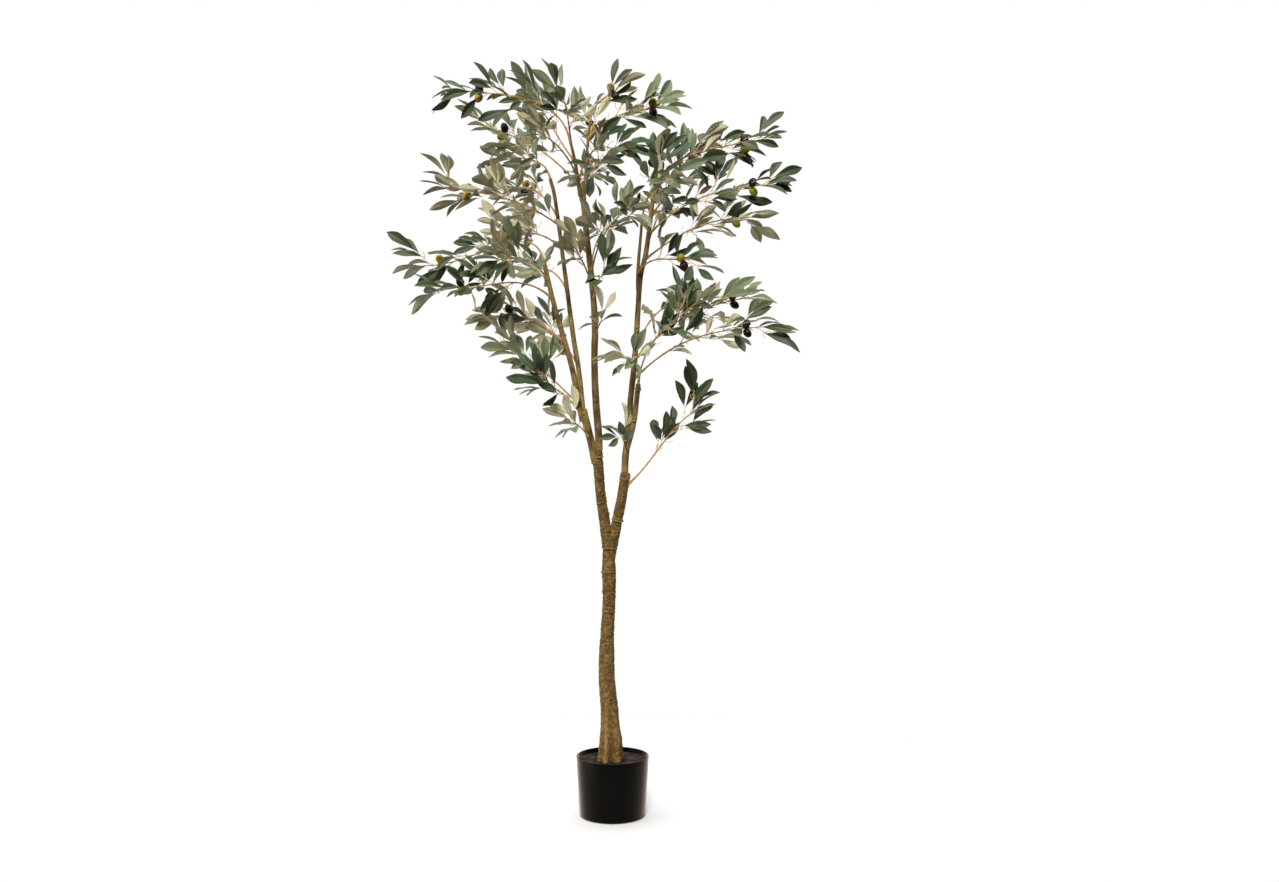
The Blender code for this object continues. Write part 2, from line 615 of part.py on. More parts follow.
    def grow(self, others):
        """Olives, leaves and twigs, each left off where it would touch another piece."""
        self.others = others
        seeds = range(SEEDS_A_SPRAY * self.order, SEEDS_A_SPRAY * self.order + self.twigs + 2)
        draws = [random.Random(seed) for seed in seeds]
        if self.fruiting:
            self.olives(draws[0])
        heading = self.stem_at(1)[1]
        self.fan(draws[1], self.end, heading, 3, list(self.grown))
        around = draws[1].uniform(0, 2 * math.pi)
        inward = (TWIG_OUTERMOST - TWIG_INNERMOST) / max(self.twigs - 1, 1)
        for index, draw in enumerate(draws[2:]):
            self.side_twig(draw, TWIG_OUTERMOST - inward * index, around + index * GOLDEN_TURN)

    def fuse(self, collection, finish):
        """One closed body from the stem and all that grows on it."""
        loose = new_collection(f"{self.name}_pieces")
        for mesh in self.pieces[1:]:
            add_object("piece", mesh, loose)
        body = add_object(self.name, self.pieces[0], collection, finish)
        union = body.modifiers.new("fuse", "BOOLEAN")
        union.operation = "UNION"
        union.operand_type = "COLLECTION"
        union.collection = loose
        union.solver = "MANIFOLD"
        body.data = evaluated_mesh(body)
        body.modifiers.clear()
        body.data.materials.clear()
        body.data.materials.append(finish)
        for thing in list(loose.objects):
            bpy.data.objects.remove(thing, do_unlink=True)
        bpy.data.collections.remove(loose)
        keep_largest_body(body.data)
        return body


def make_sprays(collection, limbs, paths, finish):
    """All sprays. Every stem is placed before the first leaf, so that leaves keep off stems."""
    section = section_curve(3)
    sprays = [Spray(name, order, limbs, paths, section) for order, name in enumerate(SPRAYS)]
    taken = {name: tree_of(limb.data) for name, limb in limbs.items()}
    taken.update({spray.name: spray.stem_tree for spray in sprays})
    for spray in sprays:
        spray.grow([tree for name, tree in taken.items() if name != spray.name])
        taken[spray.name] = tree_of(spray.fuse(collection, finish).data)
    bpy.data.objects.remove(section, do_unlink=True)


def main():
    clear_scene()
    parts = new_collection("potted_olive_tree")
    cutters = new_collection("cutters")
    finishes = {name: material(name) for name in COLOURS}
    make_pot(parts, finishes["black_plastic"])
    make_fill(parts, finishes["dark_fill"])
    limbs, paths = make_limbs(parts, cutters, finishes["bark"])
    make_sprays(parts, limbs, paths, finishes["foliage"])


main()
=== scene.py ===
"""The looks of an artificial olive tree in a plain black pot, on a pale studio floor.

Metres, +Z up, and the tree's front is -Y. The frame's solids give every place and size. Here the
trunk and boughs get wrapped bark with its relief, and the stems get grained bark. Each spray grows
again by the rule that shaped its solid, from the same seeds, and then carries on to finer twigs
and more leaves. The pot and its cast fill get their rounded rim and rough top.
"""

import math
import random

import bpy
import numpy as np
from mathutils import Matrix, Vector, noise
from mathutils.bvhtree import BVHTree


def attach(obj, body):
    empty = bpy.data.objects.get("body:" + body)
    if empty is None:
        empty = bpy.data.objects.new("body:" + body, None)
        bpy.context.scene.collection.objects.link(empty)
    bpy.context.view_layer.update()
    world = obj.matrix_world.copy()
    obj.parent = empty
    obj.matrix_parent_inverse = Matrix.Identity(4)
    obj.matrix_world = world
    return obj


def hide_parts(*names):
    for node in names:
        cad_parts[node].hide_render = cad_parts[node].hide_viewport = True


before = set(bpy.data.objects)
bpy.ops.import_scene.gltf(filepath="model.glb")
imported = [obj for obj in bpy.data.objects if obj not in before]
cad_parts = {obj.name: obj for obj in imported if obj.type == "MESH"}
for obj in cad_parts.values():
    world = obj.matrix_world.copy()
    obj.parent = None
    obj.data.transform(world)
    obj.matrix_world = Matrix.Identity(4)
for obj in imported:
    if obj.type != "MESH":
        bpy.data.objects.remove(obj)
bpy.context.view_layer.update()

# The pot and its fill, as in the frame
POT_HEIGHT = 0.1415
POT_TOP_RADIUS = 0.0862
POT_FOOT_RADIUS = 0.0790
POT_FOOT_EDGE = 0.005
POT_WALL = 0.0025
POT_FLOOR = 0.0035
POT_STEPS = 160
AXIS_HOLE = 0.002           # flat undersides and floors are closed this near to the pot's axis
RIM_ROUNDING = 0.0009
FILL_TOP = 0.1308
FILL_RINGS = 44
CRUMBS_A_METRE = 380
FILL_CRUMB = 0.0009         # how far the fill's crumbs and lumps stand up or lie low
LUMPS_A_METRE = 60
FILL_LUMP = 0.0036
HOLLOW_DEPTH = 0.0060       # the fill has shrunk away from the trunk's foot
HOLLOW_WIDTH = 0.0085
HOLLOW_SHARE = 0.7          # mean share of that depth round the foot, and how much it varies
HOLLOW_UNEVEN = 0.9
UNEVEN_A_METRE = 45
HOLLOW_PAINTED_SHADE = 2.2           # how much deeper the painted shade in the hollow is than the painted shading the lumps give the rest
CHIP_PLACE = (-0.050, 0.021)
CHIP_SIZE = (0.0048, 0.0014)        # half its length, and its greatest radius
CHIP_ROWS = (-1, -0.6, 0, 0.6, 1)
CHIP_PROFILE = (0.2, 0.8, 1.0, 0.7, 0.25)
CHIP_SIDES = 7

# The rule that the sprays' solids grew by
GAP = 0.0003
LIMB_STEP = 0.045
STEM_RADIUS = 0.0020
STEM_TIP_RADIUS = 0.0012
STEM_PIECES = 4
STEM_HANDLE = 0.4
STEM_OUT = 0.8
STEM_LEVEL = 0.35
STEM_LEAST_CLIMB = 0.05
TWIG_RADIUS = 0.0011
TWIG_LENGTH = 0.052
TWIG_OUTERMOST = 0.92
TWIG_INNERMOST = 0.36
TWIG_LEAN = 0.75
TWIG_LIFT = 0.12
TWIG_SIZES = (0.75, 1.2)
GOLDEN_TURN = math.radians(137.5)
LEAF_LENGTH = 0.074
LEAF_WIDTH = 0.0250
LEAF_WIDEST = 0.62
LEAF_THICKEST = 0.36
LEAF_THICKNESS = 0.0013
LEAF_CUP = 0.03
LEAF_DROOP = 0.05
LEAF_SINK = 0.0040
LEAF_SIZES = (0.86, 1.14)
LEAF_UP = 0.75
LEAF_TURNS = 0.75
LEAF_RISE = 0.2
FAN_LEANS = (0.0, 0.50, -0.50)
FAN_STRAY = 0.20
FAN_STEP = 0.010
FULL_FAN = 0.7
OLIVE_LENGTH = 0.0265
OLIVE_WIDTH = 0.0200
OLIVE_PLACE = 0.86
OLIVE_TURNS = (0.5, 1.4)
OLIVE_SPREAD = 1.8
OLIVE_BACK = 0.15
OLIVE_LEAN = 0.5
SPRAY_SPREAD = 0.125
SPACE_STEPS = 8
CLEARANCE = 0.0006
SEEDS_A_SPRAY = 100
BEYOND = 0.1
UP = Vector((0, 0, 1))
ASKEW = Vector((0.3, 0.2, 1.0))

# What the looks add to that rule
FINE_PIECES = 6             # short pieces in place of each of the stem's straight ones
FINER_SEED = 90000
FINER_REACH = 0.100         # the added leaves keep this near to the stem
TWIGLET_SHARES = (0.42, 0.72)
TWIGLET_LENGTHS = (0.016, 0.030)
TWIGLET_LEAN = 0.9
TWIGLET_RADIUS = 0.0007
TWIGLET_LEAF_SIZES = (0.72, 1.0)
TWIGLET_TURN = 2.0          # how much more the added leaves stray from facing up and out
TWIGLET_FAN = (0.28, -0.42, 0.75)
ADDED_TWIG_SHARES = (0.86, 0.74, 0.62, 0.50, 0.38, 0.26)
FULLER_TWIG_SHARES = (0.80, 0.68, 0.56, 0.44)
FULLER_SPRAYS = (
    "spray_right_low_front", "spray_right_low_upper", "spray_left_inner", "spray_left_front",
    "spray_left_lower", "spray_left_upper_back", "spray_left_low_outer",
    "spray_right_top_outer", "spray_left_upper_outer")
OPEN_SPRAYS = (
    "spray_top_back", "spray_top_middle", "spray_top_left_inner", "spray_high_left_front")
OPEN_TWIGS = 2              # added twigs on each of the open sprays
TWIG_HANDLE = 0.38          # handles of a twig's and a twiglet's curve, as shares of its length
TWIGLET_HANDLE = 0.35
TWIG_START = 0.35           # how much of its own heading a twig has where it leaves the stem
HOOK_LENGTHS = (0.008, 0.022)
HOOK_PLACES = (0.35, 0.9)
HOOK_RADIUS = 0.0006
STALK_RADIUS = 0.0007
STALK_LENGTH = 0.0035

# How thick each kind of wire is from its root to its tip, as shares of its own radius
TWIG_PROFILE = (1.25, 1.0, 0.9, 0.8, 0.72, 0.72, 1.0)
TWIGLET_PROFILE = (1.5, 1.0, 0.9, 0.85, 0.85, 1.25)
HOOK_PROFILE = (1.4, 1.0, 1.3)
STALK_PROFILE = (1.4, 1.0, 1.5)
LEAF_STALK_PROFILE = (1.0, 1.0, 0.5)
STEM_SIDES = 8
TWIG_SIDES = 6
FINE_SIDES = 5
STEM_SWELL = 0.9            # how much thicker a stem is where it leaves its limb
SWELL_RINGS = 1.2           # and over how many of its rings that dies away
KNUCKLE = 0.22              # how much thicker it is where a twig leaves it

OLIVE_PAIRS = ((0, 1), (0, 2), (2, 0), (0, 1), (1, 0), (0, 0))     # 0 dark, 1 unripe, 2 turning
OLIVE_ROWS = 15
OLIVE_SIDES = 20
OLIVE_PLUMPNESS = (0.92, 1.0)
OLIVE_EGG = 0.94            # under 1, an olive is fullest nearer to its stalk

# The leaf blade: shares of its length and half width at which it has points
BLADE_ROWS = (0, 0.05, 0.13, 0.22, 0.32, 0.42, 0.52, 0.62, 0.72, 0.81, 0.89, 0.95, 1)
BLADE_COLUMNS = (-1, -0.72, -0.40, -0.07, 0.07, 0.40, 0.72, 1)
BLADE_PLEATS = (0, 0.00060, -0.00035, -0.00070, -0.00070, -0.00035, 0.00060, 0)
RIB_COLUMN = 3              # the strip of the blade that is its midrib
BLADE_WIDTHS = (0.76, 1.0)  # least and greatest share of the solid leaf's width
BLADE_WIDEST = (0.57, 0.71)  # least and greatest share of the length at which it is widest
BLADE_LOPSIDED = 0.06       # how much further out one half of the blade may be widest
BLADE_FOOT_POWER = 1.1      # over 1, the blade's foot is a straight-sided wedge
BLADE_TIP_POWERS = (1.5, 2.1)       # the lower, the sharper the tip
TIP_SLANT = 0.4             # how far the tip may lie to one side, as a share of the half width
SLANT_START = 0.55          # shares of the length at which the slant starts, and that it takes
SLANT_SPAN = 0.45
BLADE_TWIST = 0.55          # the most that the tip is turned about the midrib, in radians
BLADE_FOLDS = (0.12, 0.62)  # how far the halves rise from the midrib, as a slope
BLADE_RIPPLE = 0.10         # the most that ripples along the edges add to that slope
BLADE_RIPPLES = 1.6         # how many ripples there are
BLADE_SWEEP = 0.05          # the most that the tip is swept sideways, as a share of the length
BLADE_BENDS = (-0.02, 0.20)  # least and greatest share of the length by which the tip droops
BLADE_ARCH = 0.04           # share of the length by which the middle is arched
BLADE_THICKNESS = 0.00030
RIB_THICKNESS = 0.0007
STALK_SHARE = 0.07          # half width of the blade's foot, as a share of its widest
LEAF_STALK = 0.07           # share of a leaf's length that is its bare stalk
LEAF_STALK_RADIUS = 0.00055

# The bark
WRAP_PITCH = 0.0062         # height of one turn of the paper tape
WRAP_LIP = 0.0008
WRAP_LAP = 0.75             # share of a turn over which the tape rises, before it drops at its edge
WRAP_LEVEL = 0.4            # how far through that rise the tape is level with the limb
WRAP_SLANT = 0.0016         # how far a turn climbs and drops round the limb
WRAP_STRAY = (40, 0.0050)   # strays of the tape's edge in a metre, and how far they go
WRAP_TEARS = (70, 2.2)      # torn places in a metre, and how sharply they end
WRAP_FLATS = (90, 260, 0.0006)      # flattened places in a metre of width and height, and depth
WRAP_CREASES = (38, 120, 0.0012)    # creases likewise
CREASE_SHARPNESS = 0.05
BARK_LUMPS = ((95, 0.0007), (210, 0.0004))      # lumps in a metre, and how far they stand out
CALM_FOOT = 0.65            # how much shallower the wrap is on the root flare
CALM_SPAN = 0.06            # the height over which it grows shallower
GROOVES = (420, 22, 0.045)  # a stem's grooves likewise, their depth as a share of its radius
SWELLINGS = (38, 0.075)     # its swellings in a metre, and their height as a share of its radius
BARK_STEP = 0.0009
STEM_STEP = 0.0024
FORK_TOP = 0.672            # the trunk's wrap ends here, round the feet of both boughs
FORK_START = 0.600
FORK_QUICK = 1.4            # over 1, the skin round both boughs is all there before the fork's top
FORK_BLEND = 0.0035         # how softly their skins join
FLARE_TOP = 0.262           # the ribs of the root flare run out here
RING_SPAN = 0.012           # the height on each side that a ring can change
RING_HEAVY = 1.3
RING_UNEVEN = (90, 0.75, 0.5)       # uneven places in a metre, mean share, and how much it varies
RING_WAVE = (0.0012, 40)    # how far a ring rises and dips round the limb, and what sets its turn
RING_WIDTH = 0.0016
RING_CREASE = (0.0036, 0.0017, 0.9)         # how far under the ring, its width, and its depth
SCAR_LOW = 1.5              # how much wider than tall a scar is
SCAR_LIP = (0.0022, 0.28)   # how far the lip stands out, and its width as a share of the scar's
SCAR_HOLLOW = (0.0030, 0.6)         # how deep its middle lies, and the width likewise
SCAR_REACH = 2.5            # half widths beyond which a scar or a knob changes nothing
KNOB_REACH = 3
TIP_ROUNDING = 0.35         # height of a limb's rounded tip, as a share of its radius
TIP_ROWS = 5
TIP_LEAST = 0.02            # radius of the tip's last ring, likewise
TIP_TONE = -0.3             # a tip is a little darker than the bark beside it
KNOB_PAINTED_SHADING = 0.35            # how much knobs, scars and the flare count in the bark's painted light and shade
FLARE_PAINTED_SHADING = 0.25
WRAP_PAINTED_SHADING = 0.0012          # relief that counts as 1 for the painted light and shade, on wrapped limbs and on stems
STEM_PAINTED_SHADING = 0.0009
TONE_MOST = 2               # nothing counts as more than this, either way

# Each limb: what it springs from, its number of sides, and points (x, y, z, radius) on its axis
LIMBS = {
    "trunk": (None, 96, [
        (-0.0062, 0.000, FILL_TOP + GAP, 0.0298), (-0.0050, 0.000, 0.172, 0.0266),
        (-0.0064, 0.000, 0.215, 0.0224), (-0.0079, 0.000, 0.255, 0.0209),
        (-0.0138, 0.000, 0.322, 0.0194), (-0.0141, 0.001, 0.378, 0.0185),
        (-0.0123, 0.002, 0.440, 0.0161), (-0.0086, 0.003, 0.510, 0.0155),
        (-0.0088, 0.002, 0.575, 0.0168), (-0.0092, 0.002, 0.615, 0.0155),
        (-0.0067, 0.000, 0.664, 0.0198)]),
    "bough_left": ("trunk", 72, [
        (-0.0120, 0.001, 0.640, 0.0130), (-0.0195, 0.003, 0.699, 0.0132),
        (-0.0285, 0.007, 0.762, 0.0121), (-0.0330, 0.009, 0.815, 0.0122),
        (-0.0370, 0.010, 0.862, 0.0128)]),
    "bough_right": ("trunk", 72, [
        (0.0000, -0.002, 0.640, 0.0120), (0.0110, -0.006, 0.700, 0.0128),
        (0.0215, -0.012, 0.752, 0.0120), (0.0305, -0.016, 0.812, 0.0118)]),
    "stem_middle": ("bough_left", 30, [
        (-0.0340, 0.012, 0.840, 0.0090), (-0.0335, 0.014, 0.900, 0.0090),
        (-0.0405, 0.018, 0.985, 0.0086), (-0.0440, 0.021, 1.080, 0.0080),
        (-0.0430, 0.022, 1.167, 0.0078), (-0.0485, 0.020, 1.255, 0.0074),
        (-0.0650, 0.020, 1.406, 0.0070), (-0.0720, 0.020, 1.487, 0.0068)]),
    "bough_far_left": ("bough_left", 30, [
        (-0.0415, 0.006, 0.836, 0.0086), (-0.0525, -0.001, 0.892, 0.0092),
        (-0.0705, -0.010, 0.962, 0.0098)]),
    "crown_left": ("stem_middle", 24, [
        (-0.074, 0.017, 1.462, 0.0042), (-0.083, 0.010, 1.508, 0.0048),
        (-0.089, 0.000, 1.552, 0.0042), (-0.100, -0.010, 1.600, 0.0032)]),
    "crown_right": ("stem_middle", 24, [
        (-0.070, 0.023, 1.462, 0.0040), (-0.065, 0.030, 1.515, 0.0044),
        (-0.063, 0.030, 1.576, 0.0036), (-0.054, 0.022, 1.660, 0.0026)]),
    "stem_left_outer": ("bough_far_left", 26, [
        (-0.0730, -0.015, 0.935, 0.0052), (-0.0845, -0.022, 1.010, 0.0068),
        (-0.1010, -0.032, 1.085, 0.0064), (-0.1350, -0.045, 1.204, 0.0058),
        (-0.1610, -0.042, 1.313, 0.0050)]),
    "stem_left_inner": ("bough_far_left", 26, [
        (-0.0670, -0.006, 0.935, 0.0048), (-0.0745, 0.004, 1.000, 0.0062),
        (-0.0825, 0.014, 1.067, 0.0061), (-0.0950, 0.027, 1.140, 0.0060),
        (-0.1170, 0.048, 1.301, 0.0052), (-0.1400, 0.058, 1.471, 0.0046),
        (-0.1520, 0.055, 1.524, 0.0042)]),
    "stem_right": ("bough_right", 28, [
        (0.0290, -0.014, 0.790, 0.0080), (0.0305, -0.012, 0.850, 0.0082),
        (0.0370, -0.011, 0.916, 0.0074), (0.0440, -0.012, 0.999, 0.0070),
        (0.0515, -0.014, 1.070, 0.0068), (0.0575, -0.016, 1.150, 0.0066),
        (0.0655, -0.016, 1.272, 0.0062), (0.0800, -0.014, 1.340, 0.0058),
        (0.0960, -0.010, 1.463, 0.0050)]),
    "stem_right_low": ("stem_right", 26, [
        (0.0360, -0.017, 0.870, 0.0048), (0.0510, -0.033, 0.935, 0.0062),
        (0.0610, -0.041, 1.022, 0.0060)]),
    "stem_right_high": ("stem_right", 24, [
        (0.061, -0.018, 1.206, 0.0032), (0.060, -0.032, 1.283, 0.0040),
        (0.069, -0.045, 1.397, 0.0032)]),
}
WRAPPED = ("trunk", "bough_left", "bough_right")

# Rings round a limb: (height, how far it stands out)
RINGS = {
    "trunk": [(0.634, 0.0018), (0.578, 0.0013), (0.530, 0.0008), (0.483, 0.0018)],
    "bough_left": [(0.851, 0.0014), (0.761, 0.0008), (0.742, 0.0012)],
    "bough_right": [(0.7014, 0.0015), (0.799, 0.0010)],
    "bough_far_left": [(0.955, 0.0008)],
    "stem_middle": [(0.870, 0.0007), (0.987, 0.0006), (1.180, 0.0004), (1.470, 0.0008)],
    "stem_right": [(0.930, 0.0005), (1.151, 0.0012), (1.160, 0.0009), (1.300, 0.0005)],
    "stem_right_low": [(0.937, 0.0013), (0.943, 0.0010), (1.010, 0.0010)],
    "stem_left_outer": [(1.020, 0.0005), (1.160, 0.0005)],
    "stem_left_inner": [(1.060, 0.0005), (1.250, 0.0004), (1.420, 0.0004)],
}

# Knobs: (height, direction in degrees from +X, half size, how far it stands out)
KNOBS = {
    "trunk": [
        (0.629, 350, 0.0030, 0.0042), (0.577, 185, 0.0030, 0.0022), (0.530, 190, 0.0032, 0.0020),
        (0.322, 226, 0.0030, 0.0036), (0.182, 350, 0.0075, 0.0034), (0.187, 205, 0.0030, 0.0022),
        (0.446, 30, 0.0040, 0.0022), (0.360, 120, 0.0045, 0.0026)],
    "bough_left": [(0.714, 345, 0.0030, 0.0026), (0.700, 335, 0.0030, 0.0020)],
    "bough_right": [(0.804, 330, 0.0060, 0.0030), (0.7014, 5, 0.0030, 0.0020)],
    "stem_right_low": [(1.012, 10, 0.0040, 0.0020)],
    "stem_right": [(1.155, 300, 0.0045, 0.0014)],
}

# Scars of cut twigs: (height, direction in degrees from +X, half width)
SCARS = {
    "trunk": [(0.404, 262, 0.0050), (0.275, 288, 0.0062), (0.330, 60, 0.0058)],
    "bough_left": [(0.800, 240, 0.0040)],
    "bough_right": [(0.760, 290, 0.0036)],
}

# Ribs of the root flare and, with a depth under zero, its hollows: (degrees from +X, half width
# in degrees, depth)
FLARE_RIBS = [
    (250, 13, 0.0054), (204, 17, 0.0026), (314, 20, 0.0036), (15, 22, 0.0030), (75, 20, 0.0028),
    (135, 22, 0.0034), (226, 11, -0.0034), (276, 13, -0.0056), (345, 16, -0.0020),
    (45, 18, -0.0020), (105, 18, -0.0022), (170, 18, -0.0022)]

# Each spray: the limb that carries it, the height at which it leaves that limb (None at the
# limb's tip), where its stem ends, its number of side twigs, whether it bears a pair of olives,
# and how far the upper sides of its leaves turn to the front (1) or to the back (-1).
SPRAYS = {
    "spray_top_left_outer": ("crown_left", None, (-0.352, -0.045, 1.712), 5, True, 0.8),
    "spray_top_left_inner": ("crown_left", 1.560, (-0.195, 0.050, 1.716), 4, False, 0.9),
    "spray_top_middle": ("crown_left", 1.575, (-0.105, -0.160, 1.655), 3, False, -0.6),
    "spray_top_up": ("crown_right", None, (0.012, -0.020, 1.722), 2, True, 0.7),
    "spray_top_right": ("crown_right", 1.620, (0.122, -0.055, 1.672), 5, True, 0.9),
    "spray_top_right_low": ("crown_right", 1.560, (0.030, -0.130, 1.560), 3, False, 0.6),
    "spray_top_back": ("crown_right", 1.600, (-0.045, 0.190, 1.690), 4, True, -0.3),
    "spray_high_left_outer": ("crown_left", 1.510, (-0.292, 0.035, 1.640), 4, True, 0.2),
    "spray_high_left_inner": ("stem_left_inner", None, (-0.235, 0.110, 1.590), 3, False, -0.8),
    "spray_high_left_front": ("crown_left", 1.530, (-0.165, -0.165, 1.585), 3, False, -0.7),
    "spray_high_middle_back": ("crown_right", 1.500, (-0.060, 0.200, 1.560), 3, False, 0.4),
    "spray_high_middle_front": ("crown_right", 1.490, (-0.025, -0.175, 1.515), 3, False, 0.5),
    "spray_left_upper_outer": ("stem_middle", 1.345, (-0.382, -0.100, 1.474), 5, True, -0.5),
    "spray_left_upper_back": ("stem_left_inner", 1.440, (-0.250, 0.230, 1.540), 4, True, -0.4),
    "spray_left_outer": ("stem_left_outer", None, (-0.442, -0.050, 1.300), 5, True, 0.7),
    "spray_left_inner": ("stem_left_inner", 1.360, (-0.280, 0.125, 1.405), 4, True, -0.7),
    "spray_left_lower_outer": ("stem_left_outer", 1.230, (-0.378, -0.125, 1.240), 4, True, 0.6),
    "spray_left_front": ("stem_left_outer", 1.270, (-0.245, -0.215, 1.300), 4, False, 0.8),
    "spray_left_back": ("stem_left_inner", 1.260, (-0.225, 0.255, 1.330), 3, True, 0.2),
    "spray_left_lower": ("stem_left_outer", 1.130, (-0.262, -0.030, 1.190), 3, True, -0.5),
    "spray_left_low_outer": ("stem_left_outer", 0.985, (-0.255, -0.060, 1.112), 4, False, 0.5),
    "spray_left_low_front": ("stem_left_outer", 0.965, (-0.160, -0.095, 1.022), 3, False, 0.9),
    "spray_left_low_back": ("stem_left_inner", 1.080, (-0.190, 0.200, 1.180), 4, False, 0.3),
    "spray_left_lowest": ("bough_far_left", 0.905, (-0.092, -0.064, 0.932), 2, False, -0.9),
    "spray_middle_front": ("stem_middle", 1.300, (0.042, -0.180, 1.413), 3, False, -0.6),
    "spray_middle_left": ("stem_middle", 1.270, (-0.085, -0.060, 1.335), 2, False, -0.5),
    "spray_middle_back": ("stem_middle", 1.310, (-0.010, 0.230, 1.440), 3, False, 0.3),
    "spray_right_top_outer": ("stem_right", None, (0.354, -0.020, 1.603), 5, True, 0.8),
    "spray_right_top_inner": ("stem_right", 1.430, (0.215, 0.110, 1.615), 3, False, 0.6),
    "spray_right_upper": ("stem_right", 1.445, (0.110, -0.065, 1.545), 3, True, 0.7),
    "spray_right_upper_outer": ("stem_right", 1.385, (0.371, -0.050, 1.490), 5, True, 0.9),
    "spray_right_outer": ("stem_right", 1.325, (0.330, 0.060, 1.432), 4, True, -0.3),
    "spray_right_upper_back": ("stem_right", 1.360, (0.150, 0.235, 1.500), 4, True, 0.2),
    "spray_right_upper_front": ("stem_right_high", None, (0.130, -0.215, 1.475), 4, False, 0.5),
    "spray_right_front": ("stem_right_high", 1.290, (0.180, -0.125, 1.305), 3, True, 0.5),
    "spray_right_low_outer": ("stem_right", 1.040, (0.362, -0.045, 1.158), 5, True, 0.4),
    "spray_right_low_upper": ("stem_right", 1.090, (0.330, 0.060, 1.238), 4, True, 0.6),
    "spray_right_low_front": ("stem_right_low", None, (0.198, -0.200, 1.203), 4, False, 0.1),
    "spray_right_low_back": ("stem_right", 1.120, (0.185, 0.215, 1.245), 3, True, 0.4),
    "spray_right_low_left": ("stem_right", 1.060, (0.034, -0.074, 1.082), 2, False, 0.3),
    "spray_fork_right": ("bough_right", 0.790, (0.196, -0.060, 0.964), 3, False, 0.9),
    "spray_fork_left": ("stem_right", 0.865, (0.024, -0.062, 0.902), 2, False, 0.8),
    "spray_middle_high": ("stem_middle", 1.235, (-0.022, -0.075, 1.275), 1, False, 0.8),
    "spray_middle_low": ("stem_middle", 1.135, (-0.024, -0.050, 1.172), 1, False, 0.1),
}

# Finishes

def linear(hex_colour):
    """An sRGB hex colour as linear red, green, blue and alpha."""
    channels = [int(hex_colour[start:start + 2], 16) / 255 for start in (1, 3, 5)]
    curve = [c / 12.92 if c <= 0.04045 else ((c + 0.055) / 1.055) ** 2.4 for c in channels]
    return (*curve, 1.0)


def per_metre(millimetres):
    """The scale of a pattern whose marks are this many millimetres apart."""
    return 1000 / millimetres


def add_node(tree, kind, sockets, **settings):
    """Adds a node with its settings. A socket gets a value, or a link from another socket."""
    node = tree.nodes.new(kind)
    for name, value in settings.items():
        setattr(node, name, value)
    wire(tree, node, sockets)
    return node


def wire(tree, node, sockets):
    """Sets each of the node's named sockets to a value, or links another socket to it."""
    for name, value in sockets.items():
        if isinstance(value, bpy.types.NodeSocket):
            tree.links.new(value, node.inputs[name])
        else:
            node.inputs[name].default_value = value


def new_finish(name, sockets):
    """A material with a Principled shader, and the place on the object for its patterns."""
    finish = bpy.data.materials.new(name)
    finish.use_nodes = True
    tree = finish.node_tree
    shader = tree.nodes["Principled BSDF"]
    wire(tree, shader, sockets)
    place = add_node(tree, "ShaderNodeTexCoord", {}).outputs["Object"]
    return finish, tree, shader, place


def cloudy_marks(tree, place, millimetres, detail=3.0, stretch=(1, 1, 1)):
    """Cloudy marks of a real size, drawn out where a stretch is under 1."""
    drawn = add_node(tree, "ShaderNodeMapping", {"Vector": place, "Scale": stretch})
    return add_node(tree, "ShaderNodeTexNoise", {
        "Vector": drawn.outputs["Vector"], "Scale": per_metre(millimetres), "Detail": detail,
    }).outputs["Fac"]


def painted_paper_bark(name, dark, middle, pale):
    """Paper tape wound on a core and brushed with matt paint: dull, with painted shade in the
    hollows and creases and painted light on the ridges, knobs and flare ribs, both from the relief,
    and short level streaks where the tape is creased."""
    finish, tree, shader, place = new_finish(name, {
        "Roughness": 0.85, "IOR": 1.45, "Specular IOR Level": 0.25})
    streaks = cloudy_marks(tree, place, 6, 5, (1, 1, 0.7))
    blotches = cloudy_marks(tree, place, 38)
    # The relief paints shade into the bark's hollows and creases and light onto its ridges, knobs
    # and flare ribs.
    relief = add_node(tree, "ShaderNodeAttribute", {}, attribute_name="relief").outputs["Fac"]
    mottled = add_node(tree, "ShaderNodeMath", {
        0: blotches, 1: 0.5, 2: streaks}, operation="MULTIPLY_ADD")
    height = add_node(tree, "ShaderNodeMath", {
        0: relief, 1: 0.22, 2: mottled.outputs[0]}, operation="MULTIPLY_ADD")
    spread = add_node(tree, "ShaderNodeMapRange", {
        "Value": height.outputs[0], "From Min": 0.16, "From Max": 1.20})
    colours = add_node(tree, "ShaderNodeValToRGB", {"Fac": spread.outputs["Result"]})
    ramp = colours.color_ramp
    ramp.elements[0].color = linear(dark)
    ramp.elements[1].color = linear(pale)
    ramp.elements.new(0.5).color = linear(middle)
    bump = add_node(tree, "ShaderNodeBump", {
        "Height": mottled.outputs[0], "Strength": 0.5, "Distance": 0.0012})
    wire(tree, shader, {
        "Base Color": colours.outputs["Color"], "Normal": bump.outputs["Normal"]})
    return finish


